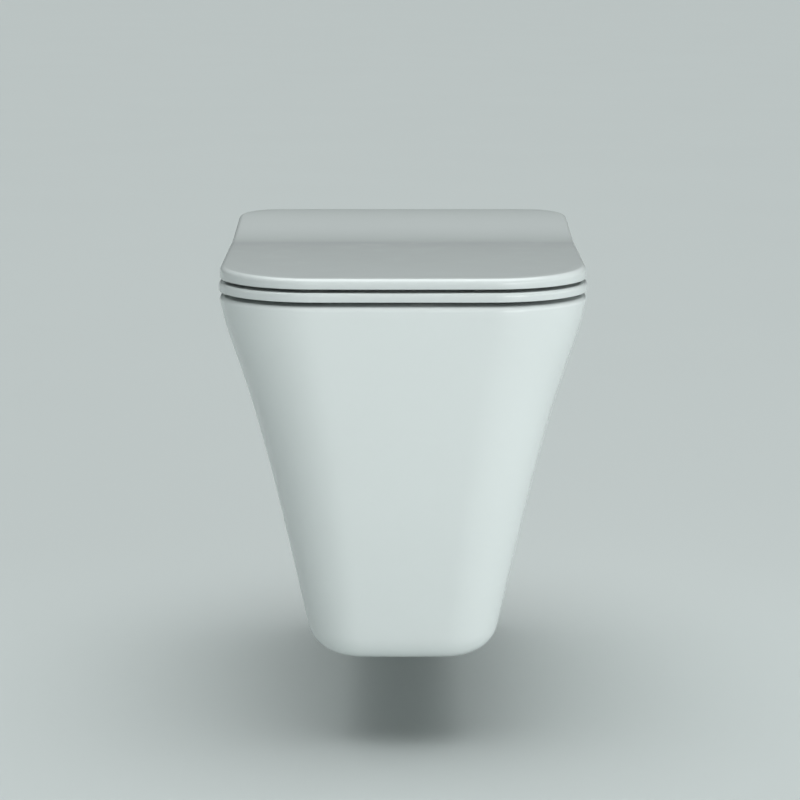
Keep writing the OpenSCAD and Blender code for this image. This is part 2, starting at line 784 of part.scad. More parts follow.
// Thickness of a lug's foot, its half width below the pin and how far it reaches into the seat
lug_t = 7.5;
lug_hw = 8;
lug_in = 14;
module seat_lug() {
    knuckle(seat_knuckle_x, seat_knuckle_x + knuckle_len);
    foot = seat_z + 1;
    rear = -hinge_len + lug_hw;
    front = -hinge_len - lug_hw;
    // The lug runs back under the lid's rear wall and then rises to the pin
    translate([seat_knuckle_x, 0, 0]) rotate([90, 0, 90]) linear_extrude(knuckle_len)
        polygon([
            [-seat_back - lug_in, foot], [rear - 6, foot], [rear, foot + 5], [rear, pin_z - 6],
            [front, pin_z - 6], [front, foot + lug_t + 2], [front - 3, foot + lug_t],
            [-seat_back - lug_in, foot + lug_t]
        ]);
}
module seat_ring() {
    color(plastic_white) difference() {
        union() {
            seat_body();
            both_sides() seat_lug();
        }
        both_sides() knuckle_bore(seat_knuckle_x - cut, seat_knuckle_x + knuckle_len - end_wall);
    }
}

buffer_r = 9;
// Where the buffers stand, as [distance in from the seat's side, share of its length]
buffer_places = [[33.5, 0.74], [28.5, 0.24]];
module seat_buffers() {
    foot = rim_z + 2 * soft_gap;
    color(rubber_clear) both_sides() for (p = buffer_places)
        translate([p[0] - seat_hw, -seat_back - (seat_front - seat_back) * p[1], foot]) {
            cylinder(h = 1, r1 = buffer_r - 1, r2 = buffer_r);
            translate([0, 0, 1]) cylinder(h = seat_z + seat_recess - foot - 1, r = buffer_r);
        }
}

module seat_damper() {
    color(nylon) barrel(seat_knuckle_x, seat_knuckle_x + knuckle_len - end_wall - barrel_short);
}
module seat_bush() {
    color(nylon) mirror([1, 0, 0])
        barrel(seat_knuckle_x, seat_knuckle_x + knuckle_len - end_wall - barrel_short);
}

/* Lid */

lid_z = seat_top + lid_gap;
lid_hw = pan_w / 2 - lid_shy;
lid_front = pan_len - lid_shy;
lid_skirt_t = 5.5;
lid_arris = 0.8;
// Rings between the lid's edge and its middle
lid_inner_n = 4;
// Power of the curve by which the lid's top falls away towards the front
lid_fall_bend = 1.5;

function smooth(q) = let (t = min(max(q, 0), 1)) t * t * (3 - 2 * t);
// Height of the lid's top at a distance from the wall
function lid_top(d) =
    lid_z + lid_t
    + lid_rise * smooth((lid_rise_start - d) / (lid_rise_start - lid_rise_end))
    - lid_front_fall * pow(max(0, d - lid_rise_start) / (lid_front - lid_rise_start), lid_fall_bend);
function lid_outline(d) = inset_outline(lid_hw, seat_back, lid_front, seat_back_r, rim_corner_r, d);
function under_top(points, drop) = [for (p = points) [p.x, p.y, lid_top(-p.y) - drop]];

module lid_shell() {
    c = [0, -(lid_front + seat_back) / 2];
    top = lid_outline(lid_edge_r);
    ceiling = lid_outline(lid_skirt_t + 1);
    shares = [for (i = [1:lid_inner_n]) i / lid_inner_n * 0.9];
    loft(concat(
        [for (k = shares) under_top(scaled(ceiling, c, k), lid_shell_t)],
        [under_top(ceiling, lid_shell_t)],
        [under_top(lid_outline(lid_skirt_t), lid_shell_t + 1)],
        [level(lid_outline(lid_skirt_t - 0.5), lid_z)],
        [level(lid_outline(lid_arris), lid_z)],
        [level(lid_outline(0), lid_z + lid_arris)],
        [
            for (i = [0:edge_n])
                let (a = 90 * i / edge_n)
                under_top(lid_outline(lid_edge_r * (1 - cos(a))), lid_edge_r * (1 - sin(a)))
        ],
        [for (i = [lid_inner_n - 1:-1:0]) under_top(scaled(top, c, shares[i]), 0)]
    ));
}

lid_lug_h = 14;
module lid_lug() {
    root = seat_back + lid_skirt_t - 1;
    knuckle(lid_knuckle_x - knuckle_len, lid_knuckle_x);
    translate([lid_knuckle_x - knuckle_len, -root, pin_z - lid_lug_h / 2])
        cube([knuckle_len, root - hinge_len, lid_lug_h]);
}
module lid() {
    color(plastic_white) difference() {
        union() {
            lid_shell();
            both_sides() lid_lug();
        }
        both_sides() knuckle_bore(lid_knuckle_x - knuckle_len - cut, lid_knuckle_x + cut);
    }
}

lid_buffer_r = 6;
lid_buffer_places = [[38, 0.82], [28, 0.41]];
module lid_buffers() {
    foot = seat_top + 2 * soft_gap;
    color(rubber_clear) both_sides() for (p = lid_buffer_places) {
        d = seat_back + (lid_front - seat_back) * p[1];
        translate([p[0] - lid_hw, -d, foot]) {
            cylinder(h = 1, r1 = lid_buffer_r - 1, r2 = lid_buffer_r);
            translate([0, 0, 1])
                cylinder(h = lid_top(d) - lid_shell_t - foot - 1 - 2 * soft_gap, r = lid_buffer_r);
        }
    }
}

// How far the lid's barrels stop inside the knuckles' outer ends
lid_barrel_in = 0.6;
module lid_damper() {
    color(nylon) mirror([1, 0, 0]) barrel(lid_knuckle_x - knuckle_len + lid_barrel_in, lid_knuckle_x);
}
module lid_bush() {
    color(nylon) barrel(lid_knuckle_x - knuckle_len + lid_barrel_in, lid_knuckle_x);
}

pan();
stud_bushes();
wall_studs();
fixing_block_left();
fixing_block_right();
clamp_screws();
access_caps();
inlet_seal();
flush_pipe();
outlet_seal();
soil_connector();
hinge_post_left();
hinge_post_right();
hinge_gaskets();
hinge_studs();
expansion_sleeves();
sleeve_nuts();
hinge_pin_left();
hinge_pin_right();
pin_grub_screws();
seat_ring();
seat_buffers();
seat_damper();
seat_bush();
lid();
lid_buffers();
lid_damper();
lid_bush();
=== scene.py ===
"""A wall hung toilet with its seat, lid, hinges, wall fixings and pipe connections.

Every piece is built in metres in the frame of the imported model: the origin is midway
between the two wall studs on the wall face, +Y goes into the wall and +Z up.
"""

import contextlib
import math

import bmesh
import bpy
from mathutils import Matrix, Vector


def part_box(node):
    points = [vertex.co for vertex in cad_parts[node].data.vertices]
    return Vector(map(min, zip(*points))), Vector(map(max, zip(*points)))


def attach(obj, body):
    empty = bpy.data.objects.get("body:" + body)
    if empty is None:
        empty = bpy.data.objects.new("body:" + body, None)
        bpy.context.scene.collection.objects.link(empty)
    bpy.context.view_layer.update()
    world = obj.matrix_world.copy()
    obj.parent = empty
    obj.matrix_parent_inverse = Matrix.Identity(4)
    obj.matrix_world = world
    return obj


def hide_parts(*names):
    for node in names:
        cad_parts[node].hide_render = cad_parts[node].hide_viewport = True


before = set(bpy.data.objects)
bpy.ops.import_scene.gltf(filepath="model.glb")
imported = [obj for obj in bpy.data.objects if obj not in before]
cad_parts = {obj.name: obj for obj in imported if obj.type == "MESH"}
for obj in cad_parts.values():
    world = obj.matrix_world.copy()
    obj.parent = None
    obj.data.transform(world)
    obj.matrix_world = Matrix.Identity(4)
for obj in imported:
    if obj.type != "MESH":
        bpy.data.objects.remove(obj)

bl_info = {
    "name": "Wall hung toilet",
    "version": (1, 0, 0),
    "blender": (4, 5, 0),
    "location": "3D View > Sidebar > Toilet",
    "description": "Builds a wall hung toilet, its finishes and a plain studio around it",
    "category": "Object",
}

MM = 0.001
QUARTER = math.pi / 2
# How far a solid runs past the face that it joins or cuts
OVERLAP = 1 * MM
# Where the outlet spigot begins, the depth of the seat's hollow underside and the knuckles' bore
SPIGOT_FRONT, SEAT_RECESS, KNUCKLE_BORE = -80 * MM, 3.8 * MM, 7.55 * MM
# The angles in degrees past which an edge of a moulded or cast piece, and of a thread, stays sharp
MOULDED_CREASE, THREAD_CREASE = 28.0, 40.0
PAN_LOW, PAN_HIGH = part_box("pan")
LID_LOW, LID_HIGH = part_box("lid")
SEAT_LOW, SEAT_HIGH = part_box("seat_ring")
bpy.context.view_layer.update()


def linear(code):
    """The linear RGBA of an sRGB hex colour such as "#C8CFCE"."""
    channels = [int(code[i : i + 2], 16) / 255 for i in (1, 3, 5)]
    return tuple(c / 12.92 if c <= 0.04045 else ((c + 0.055) / 1.055) ** 2.4 for c in channels) + (1.0,)


def length(name, about, default):
    """A size in metres that a user may change."""
    return bpy.props.FloatProperty(
        name=name, description=about, default=default, precision=5, subtype="DISTANCE", unit="LENGTH"
    )


def factor(name, about, default, low=0.0, high=10.0):
    """A plain number that a user may change."""
    return bpy.props.FloatProperty(
        name=name, description=about, default=default, min=low, max=high, precision=3
    )


def angle(name, about, degrees):
    """An angle that a user may change, given in degrees."""
    return bpy.props.FloatProperty(
        name=name, description=about, default=math.radians(degrees), subtype="ANGLE", unit="ROTATION"
    )


def colour(name, about, code):
    """A colour that a user may change, given in sRGB."""
    return bpy.props.FloatVectorProperty(
        name=name, description=about, default=linear(code), size=4, min=0.0, max=1.0, subtype="COLOR"
    )


class PanSizes(bpy.types.PropertyGroup):
    """Sizes of the ceramic pan."""

    width: length("Width", "Width that the sides would reach at the rim if they didn't turn in", 357 * MM)
    reach: length("Reach", "Distance from the wall to the front of the rim", -PAN_LOW[1])
    rim_height: length("Rim height", "Height of the rim above the wall studs", PAN_HIGH[2])
    base_drop: length("Base drop", "Depth of the underside below the wall studs", -PAN_LOW[2])
    base_width: length("Base width", "Width of the pan at its underside", 174 * MM)
    base_reach: length("Base reach", "Distance from the wall to the front of the underside", 505 * MM)
    rim_corner: length("Rim corner", "Radius of the front corners at the rim", 92 * MM)
    base_corner: length("Base corner", "Radius of the front corners at the underside", 47 * MM)
    front_bow: length("Front bow", "How far the front bows out", 4 * MM)
    side_flare: factor("Side flare", "Share of the sides' spread that comes late, near the rim", 0.22)
    rim_turn: length("Rim turn", "How far the sides turn back in under the rim", 6.6 * MM)
    rim_turn_height: length("Rim turn height", "Height of the band in which the sides turn in", 51 * MM)
    front_lean: factor("Front lean", "Power of the front's curve back towards the underside", 2.5, 1.0, 6.0)
    base_edge: length("Base edge", "Rounding of the edge round the underside", 26 * MM)
    rim_edge: length("Rim edge", "Rounding of the edge round the rim", 5 * MM)
    back_edge: length("Back edge", "Rounding of the edge against the wall", 4 * MM)
    ware: length("Ware", "Thickness of the ceramic", 12 * MM)
    back_wall: length("Back wall", "Thickness of the wall that bears on the building", 14 * MM)


class BowlSizes(bpy.types.PropertyGroup):
    """Sizes of the bowl, the trapway and the flush duct."""

    half_width: length("Half width", "Half the width of the bowl's mouth", 128.5 * MM)
    half_length: length("Half length", "Half the length of the bowl's mouth", 159.5 * MM)
    middle: length("Middle", "Distance from the wall to the middle of the mouth", 334.5 * MM)
    edge: length("Edge", "Rounding of the mouth's edge", 8 * MM)
    squareness: factor("Squareness", "How square the mouth is, where 2 is an ellipse", 2.5, 2.0, 6.0)
    slope: factor("Slope", "Power of the bowl's slope towards the sump", 1.6, 1.0, 4.0)
    sump: length("Sump", "Radius of the sump", 32 * MM)
    sump_place: length("Sump place", "Distance from the wall to the sump", 290 * MM)
    sump_height: length("Sump height", "Height of the sump's widest level", -216 * MM)
    trap: length("Trapway", "Radius of the trapway", 28 * MM)
    trap_wall: length("Trapway wall", "Thickness of the trapway's wall", 9 * MM)
    bend: length("Bend", "Radius of the trapway's two bends", 48 * MM)
    climb: angle("Climb", "How steeply the trapway climbs", 55)
    weir_height: length("Weir height", "Height of the trapway's middle at the weir", -97 * MM)
    outlet_height: length("Outlet height", "Height of the outlet's middle", -100 * MM)
    spigot: length("Spigot", "Outer radius of the outlet spigot", 51 * MM)
    spigot_bore: length("Spigot bore", "Inner radius of the outlet spigot", 45 * MM)
    inlet_height: length("Inlet height", "Height of the flush inlet's middle", 35 * MM)
    socket: length("Socket", "Radius of the socket that takes the flush pipe", 27.5 * MM)
    duct: length("Duct", "Radius of the flush duct", 24 * MM)


class SeatSizes(bpy.types.PropertyGroup):
    """Sizes of the seat and the lid."""

    back: length("Back", "Distance from the wall to the rear edges of the seat and the lid", 86 * MM)
    back_corner: length("Back corner", "Radius of the rear corners", 44 * MM)
    seat_thickness: length("Seat thickness", "Thickness of the seat at its outer edge", 8.8 * MM)
    ring_width: length("Ring width", "Width of the seat ring at the sides", 68 * MM)
    ring_front: length("Ring front", "Width of the seat ring at the front", 52 * MM)
    hole_back: length("Hole back", "Distance from the wall to the opening's rear edge", 178 * MM)
    seat_edge: length("Seat edge", "Rounding of the seat's upper outer edge", 3.5 * MM)
    seat_foot: length("Seat foot", "Rounding of the seat's lower outer edge", 1 * MM)
    lid_height: length("Lid height", "Height of the lid where it begins to rise", 15.2 * MM)
    lid_rise: length("Lid rise", "Extra height of the lid at the rear", 14.2 * MM)
    lid_rise_start: length("Lid rise start", "Distance from the wall at which the rise begins", 290 * MM)
    lid_rise_end: length("Lid rise end", "Distance from the wall at which the rise would end", 60 * MM)
    lid_fall: length("Lid fall", "How far the lid's top falls away towards its front edge", 5.4 * MM)
    lid_edge: length("Lid edge", "Rounding of the lid's upper edge", 5 * MM)
    shell: length("Shell", "Thickness of the lid's shell", 4.5 * MM)
    knuckle: length("Knuckle", "Radius of the knuckles", 10.5 * MM)


class FittingSizes(bpy.types.PropertyGroup):
    """Sizes of the hinges and the wall fixings."""

    stud_pitch: length("Stud pitch", "Distance between the wall studs", 180 * MM)
    stud: length("Stud", "Radius of a wall stud's thread", 6 * MM)
    shank: length("Shank", "Radius of a wall stud's plain shank", 5.4 * MM)
    thread_pitch: length("Thread pitch", "Distance between the turns of the thread", 1.75 * MM)
    thread_depth: length("Thread depth", "Depth of the thread's groove", 1.07 * MM)
    chamfer: length("Chamfer", "Chamfer on a wall stud's ends", 1.2 * MM)
    hinge_pitch: length("Hinge pitch", "Distance between the hinge holes", 155 * MM)
    hinge_place: length("Hinge place", "Distance from the wall to the hinges", 70 * MM)
    pin_height: length("Pin height", "Height of the hinge pins above the wall studs", 108 * MM)
    post_foot: length("Post foot", "Radius of a hinge post's foot", 13 * MM)
    post_head: length("Post head", "Radius of a hinge post's head", 10 * MM)


class FinishColours(bpy.types.PropertyGroup):
    """Colours of the finishes."""

    glaze: colour("Glaze", "White glaze on the ceramic", "#DCE2E1")
    biscuit: colour("Biscuit", "Fired clay where there is no glaze", "#CFC8B8")
    seat: colour("Seat", "Urea plastic of the seat and the lid", "#D3D9D8")
    cap: colour("Caps", "Plastic of the access caps", "#D6DBDA")
    chrome: colour("Chrome", "Chrome plating of the hinge posts", "#CBCED1")
    steel: colour("Steel", "Zinc plating of the studs, blocks and pins", "#B4B9BE")
    brass: colour("Brass", "Brass of the sleeve nuts", "#C9A961")
    rubber: colour("Rubber", "Rubber of the pipe seals", "#242527")
    clear: colour("Soft clear", "Soft plastic of the feet and the gaskets", "#C9CDCB")
    nylon: colour("Nylon", "Nylon of the bushes", "#8F949B")
    pipe: colour("Pipe", "Plastic of the flush pipe and the soil connector", "#45484C")
    floor: colour("Floor", "The studio's pale floor", "#C4CAC9")


class StudioSettings(bpy.types.PropertyGroup):
    """The camera, the floor's height and the light."""

    floor_height: length("Floor height", "Height of the floor", -365 * MM)
    camera_place: bpy.props.FloatVectorProperty(
        name="Camera", description="Where the camera stands", default=(-0.003, -3.015, 0.429), subtype="XYZ"
    )
    camera_pitch: angle("Pitch", "How far the camera looks down", 10.07)
    focal_length: factor("Focal length", "The camera's focal length in millimetres", 120.375, 10.0, 500.0)
    key_power: factor("Key power", "Power of the softbox at the front right, in watts", 44.0, 0.0, 500.0)
    side_power: factor("Side power", "Power of the softbox at the left, in watts", 0.6, 0.0, 500.0)
    dim_level: factor("Dim level", "Brightness of the studio's dim left and rear", 0.04, 0.0, 5.0)
    front_level: factor("Front level", "Brightness added low down at the front right", 3.2, 0.0, 5.0)
    top_level: factor("Top level", "Brightness added overhead", 3.5, 0.0, 5.0)


# Node trees

SOCKET_KINDS = {
    float: "NodeSocketFloat",
    int: "NodeSocketInt",
    bpy.types.Object: "NodeSocketObject",
    bpy.types.Material: "NodeSocketMaterial",
}
RAMP_INPUTS = ("Value", "From Min", "From Max", "To Min", "To Max")


def add_node(tree, kind, inputs=None, settings=None):
    """Adds a node, links or sets its inputs and sets its own settings."""
    node = tree.nodes.new(kind)
    for name, value in (settings or {}).items():
        setattr(node, name, value)
    for name, value in (inputs or {}).items():
        if isinstance(value, bpy.types.NodeSocket):
            tree.links.new(value, node.inputs[name])
        else:
            node.inputs[name].default_value = value
    return node


def new_tree(name, values):
    """A Geometry Nodes tree with a named input for each value, and its group input's sockets."""
    tree = bpy.data.node_groups.new(name, "GeometryNodeTree")
    for way in ("OUTPUT", "INPUT"):
        tree.interface.new_socket("Geometry", in_out=way, socket_type="NodeSocketGeometry")
    for label, value in values.items():
        socket = tree.interface.new_socket(label, in_out="INPUT", socket_type=SOCKET_KINDS[type(value)])
        if isinstance(value, (float, int)):
            socket.default_value = value
    return tree, add_node(tree, "NodeGroupInput").outputs


def close_tree(tree, geometry, material):
    """Ends a tree in real geometry with its material."""
    real = add_node(tree, "GeometryNodeRealizeInstances", {"Geometry": geometry})
    painted = add_node(tree, "GeometryNodeSetMaterial", {"Geometry": real.outputs[0], "Material": material})
    add_node(tree, "NodeGroupOutput", {"Geometry": painted.outputs[0]})
    return tree


def work_out(tree, known, formula):
    """A formula's result. It is a number, a known name or (operation, inputs), which adds a node."""
    if not isinstance(formula, tuple):
        return known[formula] if isinstance(formula, str) else formula
    operation, *inputs = formula
    values = [work_out(tree, known, part) for part in inputs]
    if operation == "RAMP":
        return add_node(tree, "ShaderNodeMapRange", dict(zip(RAMP_INPUTS, values))).outputs[0]
    return add_node(tree, "ShaderNodeMath", dict(enumerate(values)), {"operation": operation}).outputs[0]


def grid_tree(name, values, formulas, gap):
    """The tree that lays a square grid out as a closed skin, by formulas for each point's x, y and z."""
    tree, sizes = new_tree(name, values)
    grid = add_node(
        tree, "GeometryNodeMeshGrid",
        {"Size X": 1.0, "Size Y": 1.0, "Vertices X": sizes["Points Round"], "Vertices Y": sizes["Levels"]},
    )
    here = add_node(tree, "GeometryNodeInputPosition")
    parted = add_node(tree, "ShaderNodeSeparateXYZ", {0: here.outputs[0]})
    known = {label: sizes[label] for label in values}
    known["grid x"], known["grid y"] = parted.outputs["X"], parted.outputs["Y"]
    for result, formula in formulas:
        known[result] = work_out(tree, known, formula)
    place = add_node(tree, "ShaderNodeCombineXYZ", {axis: known[axis.lower()] for axis in "XYZ"})
    formed = add_node(
        tree, "GeometryNodeSetPosition", {"Geometry": grid.outputs["Mesh"], "Position": place.outputs[0]}
    )
    closed = add_node(tree, "GeometryNodeMergeByDistance", {"Geometry": formed.outputs[0], "Distance": gap})
    return close_tree(tree, closed.outputs[0], sizes["Material"])


def run_tree(name, tree, values, source=None):
    """The plain mesh object that a tree makes from its named values."""
    piece = bpy.data.objects.new(name, source or bpy.data.meshes.new(name))
    bpy.context.scene.collection.objects.link(piece)
    modifier = piece.modifiers.new(tree.name, "NODES")
    modifier.node_group = tree
    for item in tree.interface.items_tree:
        if item.in_out == "INPUT" and item.name in values:
            modifier[item.identifier] = values[item.name]
    return settle(piece)


def settle(piece):
    """Turns what a piece's modifiers make into its own mesh."""
    bpy.context.view_layer.update()
    evaluated = piece.evaluated_get(bpy.context.evaluated_depsgraph_get())
    mesh = bpy.data.meshes.new_from_object(evaluated)
    mesh.name = piece.name
    piece.modifiers.clear()
    piece.data = mesh
    if not mesh.polygons:
        raise RuntimeError(piece.name + " came out empty")
    return piece


# The pan's skin: a point's place round the outline and up the wall gives its x, y and z

SKIN_SIZES = (
    "Reach", "Rim Height", "Base Drop", "Base Reach", "Rim Corner", "Base Corner", "Front Bow", "Side Flare",
    "Rim Turn", "Rim Turn Height", "Front Lean", "Base Edge", "Rim Edge", "Back Edge",
)
SKIN_FORMULAS = (
    # Round the outline from the middle of the front: front edge, corner, side, rear corner and rear edge
    ("round", ("MULTIPLY", "grid x", 2.0)),
    ("way", ("ABSOLUTE", "round")),
    ("front run", ("RAMP", "way", 0.0, 0.12)),
    ("front turn", ("RAMP", "way", 0.12, 0.46, 0.0, QUARTER)),
    ("side run", ("RAMP", "way", 0.46, 0.8)),
    ("rear turn", ("RAMP", "way", 0.8, 0.85, 0.0, QUARTER)),
    ("rear run", ("RAMP", "way", 0.85, 1.0)),
    # Up the wall: underside, its edge, the wall, the rim's edge and the top
    ("level", ("ADD", "grid y", 0.5)),
    ("under run", ("RAMP", "level", 0.0, 0.04)),
    ("foot turn", ("RAMP", "level", 0.04, 0.2, 0.0, QUARTER)),
    ("climb", ("RAMP", "level", 0.2, 0.84)),
    ("rim turning", ("RAMP", "level", 0.84, 0.95, 0.0, QUARTER)),
    ("top run", ("RAMP", "level", 0.95, 1.0, 1.0, 0.0)),
    # Height of the level, where the inner skin keeps small roundings of 3 mm and 1 mm
    ("foot edge", ("MAXIMUM", ("SUBTRACT", "Base Edge", "Inset"), 3 * MM)),
    ("rim edge", ("MAXIMUM", ("SUBTRACT", "Rim Edge", "Inset"), 1 * MM)),
    ("low", ("SUBTRACT", "Inset", "Base Drop")),
    ("between", ("SUBTRACT", ("SUBTRACT", "Rim Height", "Inset"), "low")),
    ("wall height", ("SUBTRACT", ("SUBTRACT", "between", "rim edge"), "foot edge")),
    ("foot height", ("MULTIPLY_ADD", "foot edge", ("SUBTRACT", 1.0, ("COSINE", "foot turn")), "low")),
    ("wall level", ("MULTIPLY_ADD", "climb", "wall height", "foot height")),
    ("z", ("MULTIPLY_ADD", "rim edge", ("SINE", "rim turning"), "wall level")),
    # How far the level is drawn in
    ("foot in", ("MULTIPLY_ADD", "foot edge", ("SUBTRACT", 1.0, ("SINE", "foot turn")), "Inset")),
    ("drawn in", ("MULTIPLY_ADD", "rim edge", ("SUBTRACT", 1.0, ("COSINE", "rim turning")), "foot in")),
    # Half the width there: a straight spread, a late flare and the band that turns in
    ("full height", ("ADD", "Rim Height", "Base Drop")),
    ("rise", ("DIVIDE", ("ADD", "z", "Base Drop"), "full height")),
    ("to rim", ("SUBTRACT", 1.0, "rise")),
    ("late", ("POWER", ("MAXIMUM", "rise", 0.0), 3.0)),
    ("flare", ("MULTIPLY_ADD", "Side Flare", "late", ("SUBTRACT", 1.0, "Side Flare"))),
    ("spread", ("SUBTRACT", ("ADD", "Half Width", "Rim Turn"), "Base Half Width")),
    ("flared", ("MULTIPLY_ADD", ("MULTIPLY", "spread", "rise"), "flare", "Base Half Width")),
    ("turn way", ("DIVIDE", ("MULTIPLY", "to rim", "full height"), "Rim Turn Height")),
    ("turn share", ("MAXIMUM", ("SUBTRACT", 1.0, "turn way"), 0.0)),
    ("turned in", ("MULTIPLY", ("MULTIPLY", "turn share", "turn share"), "Rim Turn")),
    ("half width", ("SUBTRACT", ("SUBTRACT", "flared", "turned in"), "drawn in")),
    # The front there, which leans back towards the underside, and its corner's radius of at least 8 mm
    ("lean", ("POWER", ("MAXIMUM", "to rim", 0.0), "Front Lean")),
    ("leaned", ("MULTIPLY", ("SUBTRACT", "Reach", "Base Reach"), "lean")),
    ("front", ("SUBTRACT", ("SUBTRACT", "Reach", "leaned"), "drawn in")),
    ("corner here", ("MULTIPLY_ADD", ("SUBTRACT", "Rim Corner", "Base Corner"), "rise", "Base Corner")),
    ("corner", ("MAXIMUM", ("SUBTRACT", "corner here", "drawn in"), 8 * MM)),
    # Sideways along the outline
    ("x on front", ("MULTIPLY", ("SUBTRACT", "half width", "corner"), "front run")),
    ("x on corner", ("MULTIPLY_ADD", "corner", ("SINE", "front turn"), "x on front")),
    ("rear in", ("MULTIPLY", "Back Edge", ("SUBTRACT", 1.0, ("COSINE", "rear turn")))),
    ("rear done", ("MULTIPLY", ("SUBTRACT", "half width", "Back Edge"), "rear run")),
    ("sideways", ("SUBTRACT", ("SUBTRACT", "x on corner", "rear in"), "rear done")),
    # Towards the wall along the outline, with the front's bow
    ("depth", ("SUBTRACT", "front", "Back")),
    ("side length", ("SUBTRACT", ("SUBTRACT", "depth", "corner"), "Back Edge")),
    ("corner back", ("MULTIPLY", "corner", ("SUBTRACT", 1.0, ("COSINE", "front turn")))),
    ("y on side", ("MULTIPLY_ADD", "side length", "side run", ("SUBTRACT", "corner back", "front"))),
    ("y straight", ("MULTIPLY_ADD", "Back Edge", ("SINE", "rear turn"), "y on side")),
    ("depth share", ("DIVIDE", ("ADD", "y straight", "Back"), "depth")),
    ("bow share", ("MULTIPLY", ("DIVIDE", "sideways", "half width"), "depth share")),
    ("bowed", ("MULTIPLY_ADD", "Front Bow", ("MULTIPLY", "bow share", "bow share"), "y straight")),
    # The underside and the top close to their middles
    ("open", ("MULTIPLY", "under run", "top run")),
    ("middle", ("MULTIPLY", ("ADD", "front", "Back"), -0.5)),
    ("y", ("MULTIPLY_ADD", ("SUBTRACT", "bowed", "middle"), "open", "middle")),
    ("x", ("MULTIPLY", ("MULTIPLY", "sideways", ("SIGN", "round")), "open")),
)


def pan_skin(name, inset, back, points_round, levels, material):
    """One skin of the pan, drawn in by a wall."""
    sizes = bpy.context.scene.toilet_pan
    values = {label: getattr(sizes, label.lower().replace(" ", "_")) for label in SKIN_SIZES}
    values.update({
        "Half Width": sizes.width / 2, "Base Half Width": sizes.base_width / 2, "Inset": inset, "Back": back,
        "Points Round": points_round, "Levels": levels, "Material": material,
    })
    tree = bpy.data.node_groups.get("Pan Skin") or grid_tree("Pan Skin", values, SKIN_FORMULAS, 0.01 * MM)
    return run_tree(name, tree, values)


# A tube along a path: the path is a line of points, each with the tube's radius there


def tube_tree(values):
    """The tree that carries a circle along a path of points."""
    tree, sizes = new_tree("Tube On Path", values)
    line = add_node(tree, "GeometryNodeMeshToCurve", {"Mesh": sizes["Geometry"]})
    reach = add_node(tree, "GeometryNodeInputNamedAttribute", {"Name": "tube_radius"}, {"data_type": "FLOAT"})
    radius = reach.outputs[0]
    sized = add_node(tree, "GeometryNodeSetCurveRadius", {"Curve": line.outputs[0], "Radius": radius})
    count = sizes["Points Round"]
    circle = add_node(tree, "GeometryNodeCurvePrimitiveCircle", {"Resolution": count, "Radius": 1.0})
    skin = add_node(
        tree, "GeometryNodeCurveToMesh",
        {"Curve": sized.outputs[0], "Profile Curve": circle.outputs[0], "Scale": radius, "Fill Caps": True},
    )
    return close_tree(tree, skin.outputs[0], sizes["Material"])


def tube(name, path, material):
    """A closed tube through (point, radius) pairs."""
    places, radii = zip(*path)
    line = marked_points(name, places, "tube_radius", radii, [(i, i + 1) for i in range(len(path) - 1)])
    values = {"Points Round": 48, "Material": material}
    return run_tree(name, bpy.data.node_groups.get("Tube On Path") or tube_tree(values), values, line)


# Plain mesh work


def marked_points(name, points, mark, values, edges=()):
    """A mesh of points, each marked with a number, and the edges between them."""
    mesh = bpy.data.meshes.new(name)
    mesh.from_pydata(points, edges, [])
    mesh.attributes.new(mark, "FLOAT", "POINT").data.foreach_set("value", values)
    return mesh


def new_piece(name, points, faces, material):
    """A mesh object from points and faces."""
    mesh = bpy.data.meshes.new(name)
    mesh.from_pydata(points, [], faces)
    mesh.materials.append(material)
    mesh.update()
    piece = bpy.data.objects.new(name, mesh)
    bpy.context.scene.collection.objects.link(piece)
    return piece


@contextlib.contextmanager
def editing(piece):
    """Opens a piece's mesh for editing and writes it back."""
    form = bmesh.new()
    form.from_mesh(piece.data)
    yield form
    form.to_mesh(piece.data)
    form.free()


def loft(name, rings, material, closed_round=False):
    """A skin over rings of equal counts, with a fan at each end or closed round on itself."""
    count = len(rings[0])
    points = [p for ring in rings for p in ring]
    last = len(rings) if closed_round else len(rings) - 1
    faces = []
    for i in range(last):
        low, high = i * count, (i + 1) % len(rings) * count
        for j in range(count):
            k = (j + 1) % count
            faces.append((low + j, low + k, high + k, high + j))
    if not closed_round:
        for ring, start, turned in ((rings[0], 0, True), (rings[-1], (len(rings) - 1) * count, False)):
            points.append(tuple(sum(p[i] for p in ring) / count for i in range(3)))
            for j in range(count):
                k = (j + 1) % count
                fan = (len(points) - 1, start + j, start + k)
                faces.append(fan[::-1] if turned else fan)
    return new_piece(name, points, faces, material)


def lathe(name, profile, centre, axis, material, steps=64):
    """A solid turned round an axis through a centre, from a profile of (radius, distance along the axis)."""
    along = Vector(axis).normalized()
    across = along.orthogonal().normalized()
    up = along.cross(across)
    rings = []
    for radius, place in profile:
        turns = [2 * math.pi * i / steps for i in range(steps)]
        middle = Vector(centre) + along * place
        rings.append([tuple(middle + (across * math.cos(t) + up * math.sin(t)) * radius) for t in turns])
    return loft(name, rings, material)


def rod(name, radius, start, end, material, steps=64, edge=0.0):
    """A round solid between two points, with an optional rounded edge."""
    way = Vector(end) - Vector(start)
    size = way.length
    profile = [(radius, 0.0), (radius, size)]
    if edge > 0:
        foot = [(radius - drawn_in, place) for drawn_in, place in quarter(edge, edge, 4)]
        head = [(r, size - place) for r, place in reversed(foot)]
        profile = foot + head
    return lathe(name, profile, start, way, material, steps)


